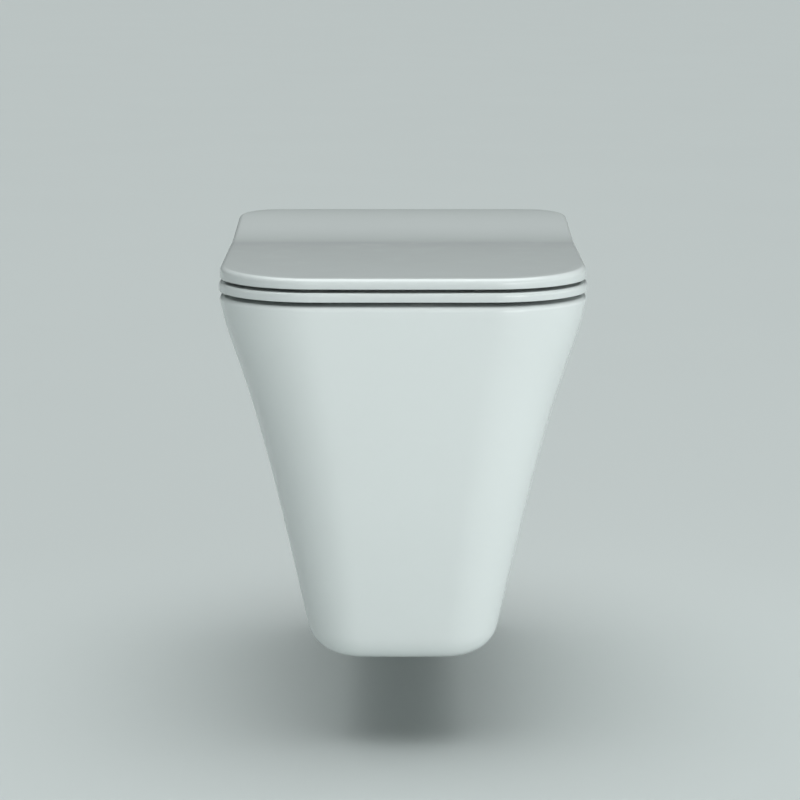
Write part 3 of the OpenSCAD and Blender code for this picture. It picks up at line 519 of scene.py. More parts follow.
def block(name, low, high, material, edge=0.0):
    """A box between two corners, with an optional rounded edge."""
    points = [(x, y, z) for x in (low[0], high[0]) for y in (low[1], high[1]) for z in (low[2], high[2])]
    faces = [(0, 1, 3, 2), (4, 6, 7, 5), (0, 4, 5, 1), (2, 3, 7, 6), (0, 2, 6, 4), (1, 5, 7, 3)]
    piece = new_piece(name, points, faces, material)
    if edge > 0:
        with editing(piece) as form:
            bmesh.ops.bevel(form, geom=form.edges, offset=edge, segments=3, affect="EDGES", profile=0.5)
    return piece


def slab(name, shape, axis, start, end, material):
    """A flat shape carried along X or Y. Its points are (along the other level axis, z)."""
    rings = []
    for place in (start, end):
        rings.append([(place, a, b) if axis == "X" else (a, place, b) for a, b in shape])
    return face_out(loft(name, rings, material))


def face_out(piece):
    """Merges doubles and points the faces outwards."""
    with editing(piece) as form:
        bmesh.ops.remove_doubles(form, verts=form.verts, dist=0.001 * MM)
        bmesh.ops.recalc_face_normals(form, faces=form.faces)
    return piece


def carve(piece, steps):
    """Joins and cuts solids in order, each (operation, solid), and removes them afterwards."""
    for operation, tool in steps:
        modifier = piece.modifiers.new(tool.name, "BOOLEAN")
        modifier.operation = operation
        modifier.solver = "MANIFOLD"
        modifier.material_mode = "TRANSFER"
        modifier.object = tool
    settle(piece)
    for _, tool in steps:
        bpy.data.objects.remove(tool)
    return piece


def smooth(piece, degrees=32.0):
    """Shades a piece smooth, with sharp edges past an angle."""
    with editing(piece) as form:
        bmesh.ops.dissolve_degenerate(form, dist=0.002 * MM, edges=form.edges)
    piece.data.shade_smooth()
    piece.data.set_sharp_from_angle(angle=math.radians(degrees))
    return piece


def hand_over(piece, body, slot, *nodes):
    """Rides a finished piece on its body in place of its CAD nodes."""
    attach(piece, body)
    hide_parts(*nodes)


def spread(low, high, steps):
    """Evenly spaced numbers, both ends included."""
    return [low + (high - low) * i / steps for i in range(steps + 1)]


def quarter(wide, tall, steps):
    """A rounding's points, hollow towards the origin, from (wide, 0) to (0, tall)."""
    return [(wide * (1 - math.sin(t)), tall * (1 - math.cos(t))) for t in spread(0.0, QUARTER, steps)]


def outline(half_width, back, front, back_corner, front_corner, bow):
    """A rounded rectangle seen from above, anticlockwise, as (x, y), with a slightly bowed front."""
    near, far = front_corner, back_corner
    x, y = half_width - near, -front + near
    right = [(x * t, -front) for t in spread(0, 1, 10)[1:]]
    right += [(x + near * math.sin(t), y - near * math.cos(t)) for t in spread(0, QUARTER, 34)[1:]]
    x, end = half_width - far, -back - far
    right += [(half_width, y + (end - y) * t) for t in spread(0, 1, 30)[1:]]
    right += [(x + far * math.cos(t), end + far * math.sin(t)) for t in spread(0, QUARTER, 18)[1:]]
    right += [(x * (1 - t), -back) for t in spread(0, 1, 10)[1:-1]]
    ring = [(0.0, -front)] + right + [(0.0, -back)] + [(-a, b) for a, b in reversed(right)]
    return [(a, b + bow * (a / half_width * (b + back) / (front - back)) ** 2) for a, b in ring]


def oval(half_width, half_length, middle, height, squareness, count=112):
    """A level ring between an ellipse and a rectangle."""
    ring = []
    for i in range(count):
        turn = 2 * math.pi * i / count
        c, s = math.cos(turn), math.sin(turn)
        x = half_width * math.copysign(abs(c) ** (2 / squareness), c)
        y = half_length * math.copysign(abs(s) ** (2 / squareness), s)
        ring.append((x, y - middle, height))
    return ring


# Finishes

# The two colour inputs of a Mix node, and the result that a node gives where none is named
FIRST, SECOND = 6, 7
MAIN_RESULTS = {"ShaderNodeTexCoord": "Object", "ShaderNodeTexWave": "Fac", "ShaderNodeMix": 2}
BLEND = {"data_type": "RGBA"}
# The middle of a noise, where nearly all its values lie
MIDDLE = {"From Min": 0.3, "From Max": 0.7}


def wire(tree, table):
    """Adds shader nodes from rows of (label, kind, inputs, settings). A text input names a node's result."""
    made = {}
    for label, kind, inputs, *settings in table:
        given = dict(inputs)
        for socket, value in inputs.items():
            if isinstance(value, str):
                source, _, result = value.partition(":")
                given[socket] = made[source].outputs[result or MAIN_RESULTS.get(made[source].bl_idname, 0)]
        made[label] = add_node(tree, "ShaderNode" + kind, given, *settings)


def new_finish(name, shader, *pattern):
    """A material whose Principled shader takes its inputs from a pattern of nodes."""
    material = bpy.data.materials.new(name)
    material.use_nodes = True
    material.node_tree.nodes.clear()
    start = ("place", "TexCoord", {})
    end = (("body", "BsdfPrincipled", shader), ("output", "OutputMaterial", {"Surface": "body"}))
    wire(material.node_tree, (start,) + pattern + end)
    return material


def toned(rgba, share=1.0):
    """A colour as plain numbers, brought down to a share of its brightness."""
    return tuple(c * share for c in rgba[:3]) + (1.0,)


def shades(rgba, share):
    """A Mix node's two colours: a darker tone and the colour itself."""
    return {FIRST: toned(rgba, share), SECOND: toned(rgba)}


def glazed_vitreous_china(colours):
    """White tin-opacified glaze fired on vitreous china: wet looking, with a very slow wave in it.

    The glaze pools and thins by a tenth of a millimetre over some 45 mm, which bends
    reflections a little, and carries rare pinholes half a millimetre across.
    """
    return new_finish(
        "glazed_vitreous_china",
        {"IOR": 1.52, "Base Color": "speck", "Roughness": "gloss", "Normal": "pitted"},
        ("waves", "TexNoise", {"Vector": "place", "Scale": 1 / (45 * MM), "Detail": 1.0}),
        ("shade", "TexNoise", {"Vector": "place", "Scale": 1 / (120 * MM), "Detail": 2.0}),
        ("spots", "TexVoronoi", {"Vector": "place", "Scale": 1 / (18 * MM)}),
        ("pit", "MapRange", {"Value": "spots", "From Min": 0.006, "From Max": 0.016}),
        ("tint", "Mix", {"Factor": "shade", **shades(colours.glaze, 0.97)}, BLEND),
        ("speck", "Mix", {"Factor": "pit", FIRST: toned(colours.glaze, 0.82), SECOND: "tint"}, BLEND),
        ("gloss", "MapRange", {"Value": "shade", **MIDDLE, "To Min": 0.05, "To Max": 0.075}),
        ("wavy", "Bump", {"Strength": 1.0, "Distance": 0.12 * MM, "Height": "waves"}),
        ("pitted", "Bump", {"Strength": 0.6, "Distance": 0.04 * MM, "Height": "pit", "Normal": "wavy"}),
    )


def unglazed_biscuit(colours):
    """Fired clay with no glaze, sponged before firing: cream, dry and finely grained at about 1 mm."""
    return new_finish(
        "unglazed_biscuit",
        {"IOR": 1.5, "Roughness": 0.82, "Base Color": "tint", "Normal": "rough"},
        ("grain", "TexNoise", {"Vector": "place", "Scale": 1 / (1.2 * MM), "Detail": 3.0}),
        ("blotch", "TexNoise", {"Vector": "place", "Scale": 1 / (50 * MM), "Detail": 4.0}),
        ("tint", "Mix", {"Factor": "blotch", **shades(colours.biscuit, 0.86)}, BLEND),
        ("rough", "Bump", {"Strength": 0.5, "Distance": 0.12 * MM, "Height": "grain"}),
    )


def pressed_urea(colours):
    """Urea moulding compound pressed in a polished steel mould: hard and glossy, a little softer than glaze.

    The press leaves a faint orange peel some 6 mm across and wiping leaves fine haze in the gloss.
    """
    return new_finish(
        "pressed_urea",
        {"IOR": 1.55, "Base Color": "tint", "Roughness": "gloss", "Normal": "skin"},
        ("peel", "TexNoise", {"Vector": "place", "Scale": 1 / (6 * MM), "Detail": 1.0}),
        ("haze", "TexNoise", {"Vector": "place", "Scale": 1 / (30 * MM), "Detail": 5.0}),
        ("shade", "TexNoise", {"Vector": "place", "Scale": 1 / (150 * MM), "Detail": 1.0}),
        ("tint", "Mix", {"Factor": "shade", **shades(colours.seat, 0.975)}, BLEND),
        ("gloss", "MapRange", {"Value": "haze", **MIDDLE, "To Min": 0.1, "To Max": 0.15}),
        ("skin", "Bump", {"Strength": 1.0, "Distance": 0.004 * MM, "Height": "peel"}),
    )


def moulded_abs(colours):
    """ABS injected into a finely eroded mould: white, with a satin grain of about 0.4 mm."""
    return new_finish(
        "moulded_abs",
        {"IOR": 1.54, "Roughness": 0.3, "Base Color": "tint", "Normal": "fine"},
        ("grain", "TexNoise", {"Vector": "place", "Scale": 1 / (0.4 * MM), "Detail": 2.0}),
        ("tint", "Mix", {"Factor": "grain", **shades(colours.cap, 0.97)}, BLEND),
        ("fine", "Bump", {"Strength": 0.3, "Distance": 0.02 * MM, "Height": "grain"}),
    )


def chromed_zinc(colours):
    """Die cast zinc, polished and chrome plated: a bright mirror with the faint haze of wiping."""
    return new_finish(
        "chromed_zinc",
        {"Base Color": toned(colours.chrome), "Metallic": 1.0, "Roughness": "gloss"},
        ("haze", "TexNoise", {"Vector": "place", "Scale": 1 / (8 * MM), "Detail": 5.0}),
        ("gloss", "MapRange", {"Value": "haze", **MIDDLE, "To Min": 0.05, "To Max": 0.11}),
    )


def zinc_plated_steel(colours):
    """Rolled steel, bright zinc plated: grey with a blue cast and cloudy gloss in patches of some 3 mm."""
    return new_finish(
        "zinc_plated_steel",
        {"Metallic": 1.0, "Base Color": "tint", "Roughness": "gloss"},
        ("cloud", "TexNoise", {"Vector": "place", "Scale": 1 / (3 * MM), "Detail": 4.0}),
        ("tint", "Mix", {"Factor": "cloud", FIRST: linear("#8F949A"), SECOND: toned(colours.steel)}, BLEND),
        ("gloss", "MapRange", {"Value": "cloud", **MIDDLE, "To Min": 0.24, "To Max": 0.42}),
    )


def turned_brass(colours):
    """Brass bar turned on a lathe: warm yellow metal with fine tool rings along its axis.

    The rings are drawn 1.9 mm apart, pi / 10 of the wave's 6 mm, as the real ones, 0.3 mm
    apart, are too fine to show.
    """
    return new_finish(
        "turned_brass",
        {"Base Color": toned(colours.brass), "Metallic": 1.0, "Roughness": "gloss"},
        (
            "rings", "TexWave",
            {"Vector": "place", "Scale": 1 / (6 * MM), "Distortion": 0.6, "Detail": 1.0},
            {"wave_type": "BANDS", "bands_direction": "Z"},
        ),
        ("gloss", "MapRange", {"Value": "rings", "To Min": 0.22, "To Max": 0.34}),
    )


def moulded_rubber(colours):
    """Black EPDM rubber, moulded and dusted with talc: dull, with pale dust in patches of some 10 mm."""
    return new_finish(
        "moulded_rubber",
        {"IOR": 1.5, "Base Color": "tint", "Roughness": "gloss"},
        ("dust", "TexNoise", {"Vector": "place", "Scale": 1 / (10 * MM), "Detail": 6.0}),
        ("tint", "Mix", {"Factor": "dust", FIRST: toned(colours.rubber), SECOND: linear("#3A3B3D")}, BLEND),
        ("gloss", "MapRange", {"Value": "dust", **MIDDLE, "To Min": 0.5, "To Max": 0.75}),
    )


def soft_clear_pvc(colours):
    """Soft clear plastic, injected: milky, with light passing a little way in and a satin skin."""
    return new_finish(
        "soft_clear_pvc",
        {
            "IOR": 1.5, "Subsurface Weight": 0.5, "Subsurface Scale": 4 * MM,
            "Subsurface Radius": (1.0, 0.95, 0.85), "Base Color": "tint", "Roughness": "gloss",
        },
        ("cloud", "TexNoise", {"Vector": "place", "Scale": 1 / (5 * MM), "Detail": 3.0}),
        ("tint", "Mix", {"Factor": "cloud", **shades(colours.clear, 0.92)}, BLEND),
        ("gloss", "MapRange", {"Value": "cloud", **MIDDLE, "To Min": 0.25, "To Max": 0.4}),
    )


def moulded_nylon(colours):
    """Grey nylon, injected: satin, with flow marks some 4 mm apart."""
    return new_finish(
        "moulded_nylon",
        {"IOR": 1.53, "Base Color": "tint", "Roughness": "gloss"},
        ("flow", "TexNoise", {"Vector": "place", "Scale": 1 / (4 * MM), "Detail": 2.0, "Distortion": 1.5}),
        ("tint", "Mix", {"Factor": "flow", **shades(colours.nylon, 0.85)}, BLEND),
        ("gloss", "MapRange", {"Value": "flow", **MIDDLE, "To Min": 0.35, "To Max": 0.5}),
    )


def drawn_polyethylene(colours):
    """Dark polyethylene pipe, extruded: waxy, with faint draw lines 0.8 mm apart along its length."""
    return new_finish(
        "drawn_polyethylene",
        {"IOR": 1.51, "Base Color": "tint", "Roughness": "gloss", "Normal": "drawn"},
        ("long way", "Mapping", {"Vector": "place", "Scale": (1.0, 0.03, 1.0)}),
        ("lines", "TexNoise", {"Vector": "long way", "Scale": 1 / (0.8 * MM), "Detail": 2.0}),
        ("tint", "Mix", {"Factor": "lines", **shades(colours.pipe, 0.85)}, BLEND),
        ("gloss", "MapRange", {"Value": "lines", **MIDDLE, "To Min": 0.32, "To Max": 0.45}),
        ("drawn", "Bump", {"Strength": 0.4, "Distance": 0.02 * MM, "Height": "lines"}),
    )


def painted_floor(colours):
    """The studio's floor: pale matt paint, rolled on."""
    return new_finish(
        "painted_floor",
        {"IOR": 1.45, "Roughness": 0.6, "Base Color": "tint"},
        ("cloud", "TexNoise", {"Vector": "place", "Scale": 1 / (500 * MM), "Detail": 1.0}),
        ("tint", "Mix", {"Factor": "cloud", **shades(colours.floor, 0.98)}, BLEND),
    )


FINISHES = {
    "glazed_ware": glazed_vitreous_china,
    "biscuit": unglazed_biscuit,
    "duroplast": pressed_urea,
    "white_plastic": moulded_abs,
    "chrome": chromed_zinc,
    "plated_steel": zinc_plated_steel,
    "brass": turned_brass,
    "black_rubber": moulded_rubber,
    "soft_clear": soft_clear_pvc,
    "nylon": moulded_nylon,
    "pipe_plastic": drawn_polyethylene,
    "floor": painted_floor,
}


def finish(name):
    """The material of one finish, made the first time it is asked for."""
    make = FINISHES[name]
    return bpy.data.materials.get(make.__name__) or make(bpy.context.scene.toilet_colours)


# Operators


class TOILET_OT_pan(bpy.types.Operator):
    """Build the ceramic pan with its bowl, trapway and flush duct"""

    bl_idname = "toilet.pan"
    bl_label = "Pan"

    def execute(self, context):
        pan, bowl, fit = context.scene.toilet_pan, context.scene.toilet_bowl, context.scene.toilet_fittings
        glaze, biscuit = finish("glazed_ware"), finish("biscuit")
        body = pan_skin("pan_ware", 0.0, 0.0, 201, 101, glaze)
        steps = [("DIFFERENCE", pan_skin("hollow", pan.ware, -OVERLAP, 101, 51, biscuit))]
        steps += [("UNION", tool) for tool in self.inner_ware(pan, bowl, fit, biscuit)]
        steps.append(("DIFFERENCE", bowl_form("bowl", bowl, pan.rim_height, 0.0, True, glaze)))
        steps += [("DIFFERENCE", tool) for tool in self.passages(pan, bowl, fit, glaze, biscuit)]
        carve(body, steps)
        self.leave_bare(body.data, biscuit)
        hand_over(smooth(body), "pan", "glazed_ware", "pan")
        return {"FINISHED"}

    def inner_ware(self, pan, bowl, fit, clay):
        """The back wall, the grown bowl and trapway, the duct, the ribs and the bosses, in unglazed clay."""
        wall_low, wall_in = -36 * MM, 3 * MM
        duct_wall, duct_front = 9 * MM, 171 * MM
        slot_half, slot_front, slot_rear, slot_rise = 49 * MM, 181 * MM, 146 * MM, 20 * MM
        rib_root, rib_front, rib_rear, rib_thick, rib_gap = 17 * MM, 53 * MM, 13 * MM, 8 * MM, 17.3 * MM
        boss_radius, boss_drop, boss_tall = 16 * MM, 22 * MM, 12 * MM
        spigot_rear, spigot_edge, spigot_steps = 10 * MM, 1.5 * MM, 96
        heights = spread(wall_low, pan.rim_height - wall_in, 12)
        right = [(side_at(pan, z) - wall_in, z) for z in heights]
        shape = right + [(-x, z) for x, z in reversed(right)]
        wall = slab("back_wall", shape, "Y", -pan.back_wall, 0.0, clay)
        y, z, outlet = -fit.hinge_place, bowl.inlet_height, bowl.outlet_height
        tools = [
            wall,
            bowl_form("bowl_ware", bowl, pan.rim_height, pan.ware, False, clay),
            tube("trapway_ware", trap_path(bowl, bowl.trap_wall, bowl.spigot), clay),
            rod(
                "spigot", bowl.spigot, (0.0, SPIGOT_FRONT, outlet), (0.0, spigot_rear, outlet), clay,
                spigot_steps, spigot_edge,
            ),
            rod("duct_ware", bowl.socket + duct_wall, (0.0, -duct_front, z), (0.0, -OVERLAP, z), clay),
            block(
                "slot_ware", (-slot_half, -slot_front, z - slot_rise), (slot_half, -slot_rear, z + slot_rise),
                clay,
            ),
        ]
        outer = side_at(pan, -30 * MM) - wall_in
        for side in (-1, 1):
            near, far = sorted((side * (fit.stud_pitch / 2 - rib_root), side * outer))
            for low in (-rib_gap - rib_thick, rib_gap):
                high = low + rib_thick
                tools.append(block("rib", (near, -rib_front, low), (far, -rib_rear, high), clay, 1 * MM))
            x, low = side * fit.hinge_pitch / 2, pan.rim_height - boss_drop
            tools.append(rod("boss", boss_radius, (x, y, low), (x, y, low + boss_tall), clay))
        return tools

    def passages(self, pan, bowl, fit, glaze, clay):
        """The trapway, the duct and the holes."""
        outlet_rear, socket_front, duct_front = 20 * MM, 42 * MM, 155 * MM
        slot_half, slot_front, slot_rear, slot_rise, slot_edge = 40 * MM, 195 * MM, 150 * MM, 11 * MM, 4 * MM
        hinge_hole, hinge_drop, bush_hole, bush_depth = 8 * MM, 40 * MM, 10.05 * MM, 15 * MM
        access_hole, access_place, access_start = 7 * MM, 35 * MM, 20 * MM
        y, z, outlet = -fit.hinge_place, bowl.inlet_height, bowl.outlet_height
        tools = [
            tube("trapway", trap_path(bowl, 0.0, bowl.spigot_bore), glaze),
            rod(
                "outlet", bowl.spigot_bore, (0.0, SPIGOT_FRONT, outlet), (0.0, outlet_rear, outlet), clay, 96
            ),
            rod("inlet", bowl.socket, (0.0, -socket_front, z), (0.0, OVERLAP, z), clay),
            rod("duct", bowl.duct, (0.0, -duct_front, z), (0.0, OVERLAP - socket_front, z), clay),
            block(
                "slot", (-slot_half, -slot_front, z - slot_rise), (slot_half, -slot_rear, z + slot_rise),
                glaze, slot_edge,
            ),
        ]
        lean, reach = side_line(pan, fit)
        low, high = pan.rim_height - hinge_drop, pan.rim_height + OVERLAP
        for side in (-1, 1):
            x = side * fit.hinge_pitch / 2
            tools.append(rod("hinge_hole", hinge_hole, (x, y, low), (x, y, high), clay))
            x = side * fit.stud_pitch / 2
            tools.append(rod("bush_hole", bush_hole, (x, -bush_depth, 0.0), (x, OVERLAP, 0.0), clay))
            way = Vector((side * math.cos(lean), 0.0, -math.sin(lean)))
            start = Vector((x, -access_place, 0.0)) + way * access_start
            tools.append(rod("access_hole", access_hole, start, start + way * reach, clay))
        return tools

    def leave_bare(self, mesh, biscuit):
        """Takes the glaze off the face against the wall."""
        bare = mesh.materials.find(biscuit.name)
        for face in mesh.polygons:
            if face.center.y > -0.2 * MM and abs(face.normal.y) > 0.9:
                face.material_index = bare


def side_at(pan, height):
    """Half the pan's width at a height."""
    full = pan.rim_height + pan.base_drop
    rise = (height + pan.base_drop) / full
    base = pan.base_width / 2
    spread_out = (pan.width / 2 + pan.rim_turn - base) * rise
    flare = 1 - pan.side_flare + pan.side_flare * max(0.0, rise) ** 3
    turn = max(0.0, 1 - (1 - rise) * full / pan.rim_turn_height)
    return base + spread_out * flare - pan.rim_turn * turn**2


def side_line(pan, fit):
    """How far the line of the clamp screw leans to meet the pan's side squarely, and its length."""
    lean, reach, step, rounds = 0.0, side_at(pan, 0.0) - fit.stud_pitch / 2, 10 * MM, 8
    for _ in range(rounds):
        z = -reach * math.sin(lean)
        lean = math.atan((side_at(pan, z + step) - side_at(pan, z - step)) / (2 * step))
        reach = (side_at(pan, -reach * math.sin(lean)) - fit.stud_pitch / 2) / math.cos(lean)
    return lean, reach


def bowl_form(name, bowl, rim, wall, rolled, material):
    """The bowl as a solid, grown by a wall, or with its rolled mouth open above the rim."""
    depth, foot, rings = rim - bowl.sump_height, bowl.sump + wall, []
    for turn in spread(QUARTER, 0.0, 12)[1:-1]:
        radius = foot * math.cos(turn)
        rings.append(oval(radius, radius, bowl.sump_place, bowl.sump_height - foot * math.sin(turn), 2.0))
    levels = spread(1.0, 0.0, 36)
    for level in levels[:-1] if rolled else levels:
        share = 1 - level**bowl.slope
        rings.append(
            oval(
                foot + (bowl.half_width + wall - foot) * share,
                foot + (bowl.half_length + wall - foot) * share,
                bowl.sump_place + (bowl.middle - bowl.sump_place) * share,
                rim - depth * level - (0.0 if rolled else OVERLAP / 2),
                2 + (bowl.squareness - 2) * share,
            )
        )
    if rolled:
        mouth = [(out, rim - drop) for drop, out in quarter(bowl.edge, bowl.edge, 10)[1:]]
        for out, height in mouth + [(bowl.edge, rim + OVERLAP)]:
            half_width, half_length = bowl.half_width + out, bowl.half_length + out
            rings.append(oval(half_width, half_length, bowl.middle, height, bowl.squareness))
    return face_out(loft(name, rings, material))


def trap_path(bowl, wall, end_radius):
    """The trapway's middle line with its radius: back from the sump, up behind the bowl and over the weir."""
    climb, bend, low, high = bowl.climb, bowl.bend, bowl.sump_height, bowl.weir_height
    weir_start, weir_end, spigot_start = 125 * MM, 114 * MM, 79 * MM
    radius = bowl.trap + wall
    run = (high - low - 2 * bend * (1 - math.cos(climb))) / math.sin(climb)
    climb_start = weir_start + 2 * bend * math.sin(climb) + run * math.cos(climb)
    places = [(-bowl.sump_place, low)]
    for turn in spread(0.0, climb, 12):
        places.append((-climb_start + bend * math.sin(turn), low + bend * (1 - math.cos(turn))))
    for turn in spread(climb, 0.0, 12):
        places.append((-weir_start - bend * math.sin(turn), high - bend * (1 - math.cos(turn))))
    places.append((-weir_end, high))
    path = [((0.0, y, z), radius) for y, z in places]
    return path + [((0.0, -spigot_start, bowl.outlet_height), end_radius - OVERLAP)]


class TOILET_OT_seat(bpy.types.Operator):
    """Build the seat ring with its hinge knuckles"""

    bl_idname = "toilet.seat"
    bl_label = "Seat"

    def execute(self, context):
        seat, fit, pan = context.scene.toilet_seat, context.scene.toilet_fittings, context.scene.toilet_pan
        urea = finish("duroplast")
        low, front, half = SEAT_LOW[2], -SEAT_LOW[1], SEAT_HIGH[0]
        corner = pan.rim_corner - (pan.width / 2 - half)
        outer = outline(half, seat.back, front, seat.back_corner, corner, pan.front_bow)
        hole_half, hole_front = half - seat.ring_width, front - seat.ring_front
        corners = hole_half * 0.8, hole_half * 0.95
        inner = outline(hole_half, seat.hole_back, hole_front, *corners, pan.front_bow)
        section = self.section(seat)
        rings = []
        for a, b in zip(outer, inner):
            way = Vector((b[0] - a[0], b[1] - a[1]))
            along = way.normalized()
            places = [(Vector(a) + way * share + along * more, low + up) for share, more, up in section]
            rings.append([(place.x, place.y, z) for place, z in places])
        body = face_out(loft("seat_moulding", rings, urea, closed_round=True))
        steps = []
        for side in (-1, 1):
            steps += self.lug(side, seat, fit, low, urea)
        carve(body, steps)
        hand_over(smooth(body, MOULDED_CREASE), "seat", "duroplast", "seat_ring")
        return {"FINISHED"}

    def section(self, seat):
        """The ring's section as [share of the way in, distance further in, height above its foot]."""
        thick, edge, foot = seat.seat_thickness, seat.seat_edge, seat.seat_foot
        roll_wide, roll_high, dish = 16 * MM, 6.5 * MM, 0.5 * MM
        arris, wall = 0.8 * MM, 5 * MM
        points = [(0, wall, 0.0)]
        points += [(0, more, height) for more, height in quarter(foot, foot, 6)]
        points += [(0, more, thick - drop) for drop, more in quarter(edge, edge, 8)]
        for t in spread(0, 1, 10)[1:-1]:
            points.append((t, edge + (-roll_wide - edge) * t, thick - dish * (3 - 2 * t) * t * t))
        points += [(1, -more, thick - dish - drop) for more, drop in quarter(roll_wide, roll_high, 12)]
        points += [(1, -more, height) for height, more in quarter(arris, arris, 4)]
        points += [(1, -wall + 1 * MM, 0.0), (1, -wall, SEAT_RECESS), (0, wall + 1 * MM, SEAT_RECESS)]
        return points

    def lug(self, side, seat, fit, low, urea):
        """The lug that runs back under the lid and rises to the pin, with its knuckle."""
        y, z = -fit.hinge_place, fit.pin_height
        near, far = side * 64 * MM, side * 43.5 * MM
        foot = low + 1 * MM
        root, web, top = -seat.back - 14 * MM, 7.5 * MM, z - 6 * MM
        # The arm from the ring, its rounded heel behind the pin, the stem and the fillet in front of it
        heel = [(y + out * MM, foot + up * MM) for out, up in ((2, 0), (5, 1.2), (7, 3), (8, 6))]
        fillet = [(y - out * MM, foot + up * MM) for out, up in ((8, 9.5), (9, 8.2), (11, 7.5))]
        shape = [(root, foot)] + heel + [(y + 8 * MM, top), (y - 8 * MM, top)] + fillet + [(root, foot + web)]
        lug = slab("seat_lug", shape, "X", min(near, far), max(near, far), urea)
        knuckle = rod("seat_knuckle", seat.knuckle, (near, y, z), (far, y, z), urea, 64, 0.8 * MM)
        bore = rod("seat_bore", KNUCKLE_BORE, (near + side * MM, y, z), (far + side * 2 * MM, y, z), urea)
        return [("UNION", lug), ("UNION", knuckle), ("DIFFERENCE", bore)]


class TOILET_OT_lid(bpy.types.Operator):
    """Build the lid with its hinge knuckles"""

    bl_idname = "toilet.lid"
    bl_label = "Lid"

    def execute(self, context):
        seat, fit, pan = context.scene.toilet_seat, context.scene.toilet_fittings, context.scene.toilet_pan
        urea = finish("duroplast")
        low, half, front = LID_LOW[2], LID_HIGH[0], -LID_LOW[1]
        skirt, fillet, arris, edge = 5.5 * MM, 2 * MM, 0.8 * MM, seat.lid_edge
        centre = -(front + seat.back) / 2

        def around(inset):
            corner = max(seat.back_corner - inset, MM), max(pan.rim_corner - inset, MM)
            return outline(half - inset, seat.back + inset, front - inset, *corner, pan.front_bow)

        def scaled(ring, share):
            return [(x * share, centre + (y - centre) * share) for x, y in ring]

        def under(ring, drop):
            return [(x, y, lid_top(seat, low, front, -y) - drop) for x, y in ring]

        ceiling, crest = around(skirt + fillet), around(edge)
        rings = [under(scaled(ceiling, t), seat.shell) for t in spread(0.0, 1.0, 16)[1:]]
        for inset, drop in quarter(fillet, fillet, 5)[1:]:
            rings.append(under(around(skirt + inset), seat.shell + drop))
        rings.append([(x, y, low) for x, y in around(skirt - 0.5 * MM)])
        for inset, rise in quarter(arris, arris, 4):
            rings.append([(x, y, low + rise) for x, y in around(inset)])
        rings += [under(around(inset), drop) for drop, inset in quarter(edge, edge, 12)]
        rings += [under(scaled(crest, t), 0.0) for t in spread(1.0, 0.0, 24)[1:-1]]
        body = face_out(loft("lid_moulding", rings, urea))
        steps = []
        for side in (-1, 1):
            steps += self.lug(side, seat, fit, skirt, urea)
        carve(body, steps)
        hand_over(smooth(body, MOULDED_CREASE), "lid", "duroplast", "lid")
        return {"FINISHED"}

    def lug(self, side, seat, fit, skirt, urea):
        """The lug on the lid's rear wall, with its knuckle."""
        y, z = -fit.hinge_place, fit.pin_height
        near, far = side * 91 * MM, side * 111.5 * MM
        root = -(seat.back + skirt - MM)
        low, high = (min(near, far), root, z - 7 * MM), (max(near, far), y, z + 7 * MM)
        lug = block("lid_lug", low, high, urea, 0.6 * MM)
        knuckle = rod("lid_knuckle", seat.knuckle, (near, y, z), (far, y, z), urea, 64, 0.8 * MM)
        bore = rod("lid_bore", KNUCKLE_BORE, (near - side * MM, y, z), (far + side * MM, y, z), urea)
        return [("UNION", lug), ("UNION", knuckle), ("DIFFERENCE", bore)]


def lid_top(seat, low, front, place):
    """Height of the lid's top at a distance from the wall."""
    share = min(max((seat.lid_rise_start - place) / (seat.lid_rise_start - seat.lid_rise_end), 0.0), 1.0)
    fall = max(0.0, place - seat.lid_rise_start) / (front - seat.lid_rise_start)
    return low + seat.lid_height + seat.lid_rise * share * share * (3 - 2 * share) - seat.lid_fall * fall**1.5


# Feet: one moulded foot stands on every place, as tall as the gap there


def foot_tree(values):
    """The tree that stands one foot on each point, stretched to the point's height."""
    tree, given = new_tree("Feet", values)
    unmoved = {"transform_space": "ORIGINAL"}
    form = add_node(tree, "GeometryNodeObjectInfo", {"Object": given["Foot"]}, unmoved)
    tall = add_node(tree, "GeometryNodeInputNamedAttribute", {"Name": "foot_height"}, {"data_type": "FLOAT"})
    sizes = {"X": given["Radius"], "Y": given["Radius"], "Z": tall.outputs[0]}
    size = add_node(tree, "ShaderNodeCombineXYZ", sizes)
    feet = add_node(
        tree, "GeometryNodeInstanceOnPoints",
        {"Points": given["Geometry"], "Instance": form.outputs["Geometry"], "Scale": size.outputs[0]},
    )
    return close_tree(tree, feet.outputs[0], given["Material"])


def foot_form(material):
    """A foot of unit radius and height: a domed pad with a shallow ring in its face."""
    edge = [(1 - drawn_in, place) for drawn_in, place in quarter(0.16, 0.16, 4)]
    profile = [(0.05, 0.1), (0.35, 0.1), (0.42, 0.02), (0.6, 0.0)] + edge + [(1.0, 0.94), (0.96, 1.0)]
    return lathe("foot_form", profile, (0, 0, 0), (0, 0, 1), material, 36)


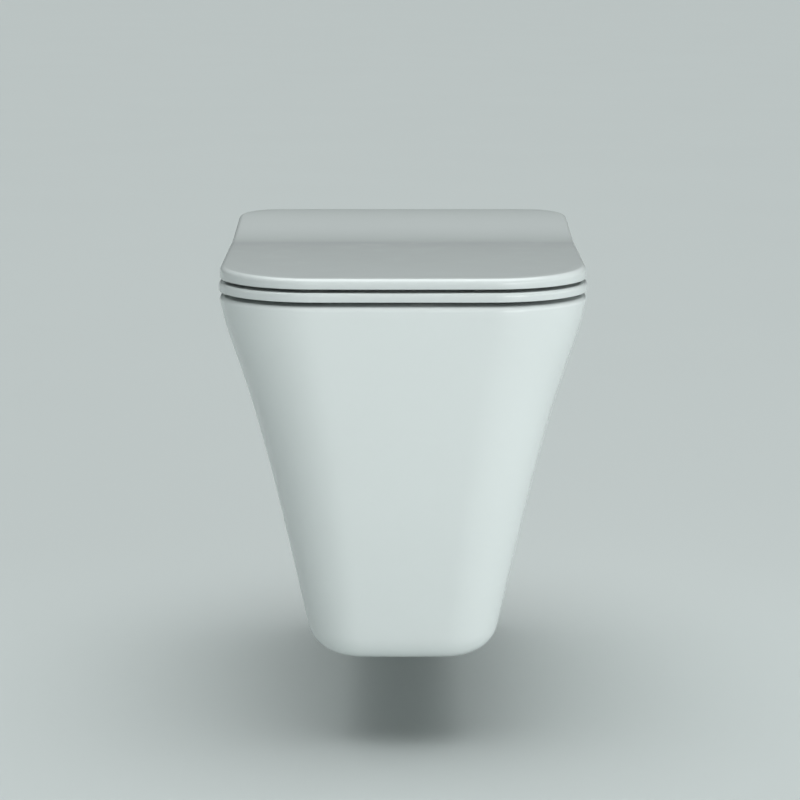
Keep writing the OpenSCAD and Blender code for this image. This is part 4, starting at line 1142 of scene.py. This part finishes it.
class TOILET_OT_feet(bpy.types.Operator):
    """Stand the soft feet under the seat and the lid"""

    bl_idname = "toilet.feet"
    bl_label = "Feet"

    def execute(self, context):
        seat = context.scene.toilet_seat
        form = foot_form(finish("soft_clear"))
        seat_foot, lid_foot, sink = 9 * MM, 6 * MM, 0.2 * MM

        def under_seat(place):
            return SEAT_LOW[2] + SEAT_RECESS

        def under_lid(place):
            return lid_top(seat, LID_LOW[2], -LID_LOW[1], place) - seat.shell - sink

        # Each pair's distance in from the side, and its place between the rear edge and the front
        rows = ((33.5 * MM, 0.74), (28.5 * MM, 0.24))
        self.stand("seat", "seat_buffers", SEAT_LOW, SEAT_HIGH, rows, under_seat, seat_foot, form)
        rows = ((38 * MM, 0.82), (28 * MM, 0.41))
        self.stand("lid", "lid_buffers", LID_LOW, LID_HIGH, rows, under_lid, lid_foot, form)
        bpy.data.objects.remove(form)
        return {"FINISHED"}

    def stand(self, body, node, low, high, rows, ceiling, radius, form):
        """One body's feet as one mesh."""
        back, foot = bpy.context.scene.toilet_seat.back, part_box(node)[0][2]
        points, heights = [], []
        for inset, share in rows:
            place = back + (-low[1] - back) * share
            for x in (inset - high[0], high[0] - inset):
                points.append((x, -place, foot))
                heights.append(ceiling(place) - foot)
        places = marked_points(body + "_feet", points, "foot_height", heights)
        values = {"Foot": form, "Radius": radius, "Material": finish("soft_clear")}
        tree = bpy.data.node_groups.get("Feet") or foot_tree(values)
        hand_over(smooth(run_tree(body + "_feet", tree, values, places)), body, "soft_clear", node)


# Studs: a bar whose threaded end is a groove wound round it

STUD_FORMULAS = (
    ("run", ("ADD", "grid y", 0.5)),
    ("shown", ("MULTIPLY", ("RAMP", "run", 0.0, 0.01), ("RAMP", "run", 0.99, 1.0, 1.0, 0.0))),
    ("y", ("MULTIPLY_ADD", ("RAMP", "run", 0.01, 0.99), ("SUBTRACT", "Rear", "Front"), "Front")),
    # The groove turns once round the bar in one pitch
    ("wound", ("ADD", ("DIVIDE", "y", "Thread Pitch"), "grid x")),
    ("slope", ("ABSOLUTE", ("SUBTRACT", ("FRACT", "wound"), 0.5))),
    ("cut", ("MULTIPLY", ("RAMP", "slope", 0.06, 0.44), "Thread Depth")),
    # The thread starts 0.2 mm past the wall face and is whole at 2 mm
    ("more", ("SUBTRACT", ("SUBTRACT", "Radius", "cut"), "Shank Radius")),
    ("bar", ("MULTIPLY_ADD", "more", ("RAMP", "y", 0.2 * MM, 2 * MM), "Shank Radius")),
    # Both ends are chamfered
    ("to end", ("MINIMUM", ("SUBTRACT", "Rear", "y"), ("SUBTRACT", "y", "Front"))),
    ("chamfered", ("ADD", ("SUBTRACT", "Radius", "Chamfer"), "to end")),
    ("r", ("MULTIPLY", ("MINIMUM", "bar", "chamfered"), "shown")),
    ("angle", ("MULTIPLY", "grid x", 2 * math.pi)),
    ("x", ("MULTIPLY_ADD", "r", ("SINE", "angle"), ("MULTIPLY", "Half Pitch", "Side"))),
    ("z", ("MULTIPLY", "r", ("COSINE", "angle"))),
)


class TOILET_OT_studs(bpy.types.Operator):
    """Build the two threaded wall studs"""

    bl_idname = "toilet.studs"
    bl_label = "Wall studs"

    def execute(self, context):
        fit = context.scene.toilet_fittings
        low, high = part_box("wall_studs")
        pair = []
        for side in (-1.0, 1.0):
            values = {
                "Half Pitch": fit.stud_pitch / 2, "Radius": fit.stud, "Shank Radius": fit.shank,
                "Thread Pitch": fit.thread_pitch, "Thread Depth": fit.thread_depth, "Chamfer": fit.chamfer,
                "Front": float(low[1]), "Rear": float(high[1]), "Side": side,
                "Points Round": 41, "Levels": 501, "Material": finish("plated_steel"),
            }
            if not pair:
                tree = grid_tree("Threaded Stud", values, STUD_FORMULAS, 0.005 * MM)
            pair.append(face_out(run_tree("wall_stud_bars", tree, values)))
        hand_over(smooth(join_up(pair), THREAD_CREASE), "pan", "plated_steel", "wall_studs")
        return {"FINISHED"}


def join_up(pieces):
    """Makes several meshes one, and keeps the first one's name."""
    with editing(pieces[0]) as form:
        for piece in pieces[1:]:
            form.from_mesh(piece.data)
            bpy.data.objects.remove(piece)
    return pieces[0]


class TOILET_OT_hinge_posts(bpy.types.Operator):
    """Build the two chromed hinge posts"""

    bl_idname = "toilet.hinge_posts"
    bl_label = "Hinge posts"

    def execute(self, context):
        fit = context.scene.toilet_fittings
        chrome = finish("chrome")
        foot, head = fit.post_foot, fit.post_head
        neck, flare_foot, flare_tall = head - 0.5 * MM, 2.4 * MM, 7.6 * MM
        barrel_half, through, well_depth = 12 * MM, 20 * MM, 12 * MM
        pin_bore, grub_bore = 4.05 * MM, 2.55 * MM
        for side, label in ((-1, "left"), (1, "right")):
            node = "hinge_post_" + label
            x, y, z, low = side * fit.hinge_pitch / 2, -fit.hinge_place, fit.pin_height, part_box(node)[0][2]
            profile = [(foot + out * MM, up * MM) for out, up in ((-0.4, 0), (0, 0.4), (0, 1.6), (-0.2, 2.1))]
            flare = quarter(foot - 0.5 * MM - neck, flare_tall, 8)
            profile += [(neck + out, flare_foot + up) for out, up in flare]
            profile.append((neck, z - low))
            post = lathe(node + "_casting", profile, (x, y, low), (0, 0, 1), chrome, 72)
            start, end = (x - barrel_half, y, z), (x + barrel_half, y, z)
            steps = [("UNION", rod("post_head", head, start, end, chrome, 72, 1 * MM))]
            for name, radius, start, end, sides in (
                ("post_bore", pin_bore, (x - through, y, z), (x + through, y, z), 48),
                ("post_well", pin_bore, (x, y, low - 5 * MM), (x, y, low + well_depth), 48),
                ("post_grub", grub_bore, (x, y, z), (x, y + through, z), 32),
            ):
                steps.append(("DIFFERENCE", rod(name, radius, start, end, chrome, sides)))
            hand_over(smooth(carve(post, steps), MOULDED_CREASE), "pan", "chrome", node)
        return {"FINISHED"}


CARRIED_OVER = {
    "plated_steel": (
        "fixing_block_left", "fixing_block_right", "clamp_screws", "hinge_studs", "hinge_pin_left",
        "hinge_pin_right", "pin_grub_screws",
    ),
    "nylon": ("stud_bushes", "seat_damper", "seat_bush", "lid_damper", "lid_bush"),
    "white_plastic": ("access_caps",),
    "black_rubber": ("inlet_seal", "outlet_seal"),
    "pipe_plastic": ("flush_pipe", "soil_connector"),
    "soft_clear": ("hinge_gaskets", "expansion_sleeves"),
    "brass": ("sleeve_nuts",),
}


class TOILET_OT_fittings(bpy.types.Operator):
    """Give the fittings that keep their CAD shape their finishes"""

    bl_idname = "toilet.fittings"
    bl_label = "Fittings"

    def execute(self, context):
        for slot, nodes in CARRIED_OVER.items():
            for node in nodes:
                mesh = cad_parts[node].data
                mesh.materials.clear()
                mesh.materials.append(finish(slot))
        return {"FINISHED"}


class TOILET_OT_studio(bpy.types.Operator):
    """Set up the floor, the lamps and the camera"""

    bl_idname = "toilet.studio"
    bl_label = "Studio"

    def execute(self, context):
        settings = context.scene.toilet_studio
        half, z = 60.0, settings.floor_height
        corners = [(-half, -half, z), (half, -half, z), (half, half, z), (-half, half, z)]
        new_piece("studio_floor", corners, [(0, 1, 2, 3)], finish("floor"))
        # Each lamp's power, size, place and the point that it looks at
        self.lamp("key_lamp", settings.key_power, (2.4, 1.7), (2.4, -4.7, 0.55), (0.0, -0.4, 0.05))
        self.lamp("side_lamp", settings.side_power, (0.15, 0.3), (-2.4, -0.5, 0.45), (0.0, -0.4, 0.0))
        self.room(settings)
        camera = bpy.data.objects.new("studio_camera", bpy.data.cameras.new("studio_camera"))
        context.scene.collection.objects.link(camera)
        camera.data.lens = settings.focal_length
        camera.data.sensor_width = 36.0
        camera.location = settings.camera_place
        camera.rotation_euler = (QUARTER - settings.camera_pitch, 0.0, 0.0)
        context.scene.camera = camera
        context.scene.view_settings.view_transform = "Standard"
        return {"FINISHED"}

    def lamp(self, name, power, size, place, aim):
        """A soft rectangular lamp that looks at a point."""
        light = bpy.data.lights.new(name, "AREA")
        light.shape = "RECTANGLE"
        light.size, light.size_y = size
        light.energy = power
        lamp = bpy.data.objects.new(name, light)
        lamp.location = place
        lamp.rotation_euler = (Vector(aim) - Vector(place)).to_track_quat("-Z", "Y").to_euler()
        bpy.context.scene.collection.objects.link(lamp)

    def room(self, settings):
        """A studio bright overhead and low down at the front right, and dim at the left and the rear."""
        world = bpy.data.worlds.new("studio_room")
        bpy.context.scene.world = world
        world.use_nodes = True
        world.node_tree.nodes.clear()
        # A ray's Z is -1 straight down, 0 on the horizon and 1 straight up
        front_right = (0.72, -0.69, 0.0)
        smoothly = {"interpolation_type": "SMOOTHSTEP"}
        low = {"Value": "parted:Z", "From Min": 0.05, "From Max": 0.45}
        low.update({"To Min": settings.front_level, "To Max": 0.0})
        over = {"Value": "parted:Z", "From Min": 0.7, "To Max": settings.top_level}
        wire(world.node_tree, (
            ("way", "TexCoord", {}),
            ("parted", "SeparateXYZ", {0: "way:Generated"}),
            ("ahead", "VectorMath", {0: "way:Generated", 1: front_right}, {"operation": "DOT_PRODUCT"}),
            ("low", "MapRange", low, smoothly),
            ("soft", "MapRange", {"Value": "ahead:Value", "From Max": 0.9, "To Max": "low"}, smoothly),
            ("over", "MapRange", over, smoothly),
            ("lit", "Math", {0: "soft", 1: "over"}),
            ("level", "Math", {0: "lit", 1: settings.dim_level}),
            ("light", "Background", {"Color": linear("#F6FAFA"), "Strength": "level"}),
            ("output", "OutputWorld", {"Surface": "light"}),
        ))


class TOILET_PT_panel(bpy.types.Panel):
    """The toilet's pieces and their settings"""

    bl_idname = "TOILET_PT_panel"
    bl_label = "Wall hung toilet"
    bl_space_type = "VIEW_3D"
    bl_region_type = "UI"
    bl_category = "Toilet"

    def draw(self, context):
        for operator in OPERATORS:
            self.layout.operator(operator.bl_idname)
        for attribute, (group, label) in SETTINGS.items():
            box = self.layout.box()
            box.label(text=label)
            settings = getattr(context.scene, attribute)
            for name in group.__annotations__:
                box.prop(settings, name)


SETTINGS = {
    "toilet_pan": (PanSizes, "Pan"),
    "toilet_bowl": (BowlSizes, "Bowl and trapway"),
    "toilet_seat": (SeatSizes, "Seat and lid"),
    "toilet_fittings": (FittingSizes, "Fittings"),
    "toilet_colours": (FinishColours, "Colours"),
    "toilet_studio": (StudioSettings, "Studio"),
}
OPERATORS = (
    TOILET_OT_pan,
    TOILET_OT_seat,
    TOILET_OT_lid,
    TOILET_OT_feet,
    TOILET_OT_studs,
    TOILET_OT_hinge_posts,
    TOILET_OT_fittings,
    TOILET_OT_studio,
)


def register():
    """Makes the settings, the operators and the panel known to Blender."""
    for attribute, (group, _) in SETTINGS.items():
        bpy.utils.register_class(group)
        setattr(bpy.types.Scene, attribute, bpy.props.PointerProperty(type=group))
    for part in OPERATORS:
        bpy.utils.register_class(part)
    bpy.utils.register_class(TOILET_PT_panel)


def unregister():
    """Undoes register."""
    bpy.utils.unregister_class(TOILET_PT_panel)
    for part in reversed(OPERATORS):
        bpy.utils.unregister_class(part)
    for attribute, (group, _) in reversed(SETTINGS.items()):
        delattr(bpy.types.Scene, attribute)
        bpy.utils.unregister_class(group)


def main():
    """Builds every piece and the studio."""
    register()
    for operator in OPERATORS:
        group, name = operator.bl_idname.split(".")
        getattr(getattr(bpy.ops, group), name)()


if __name__ == "__main__":
    main()
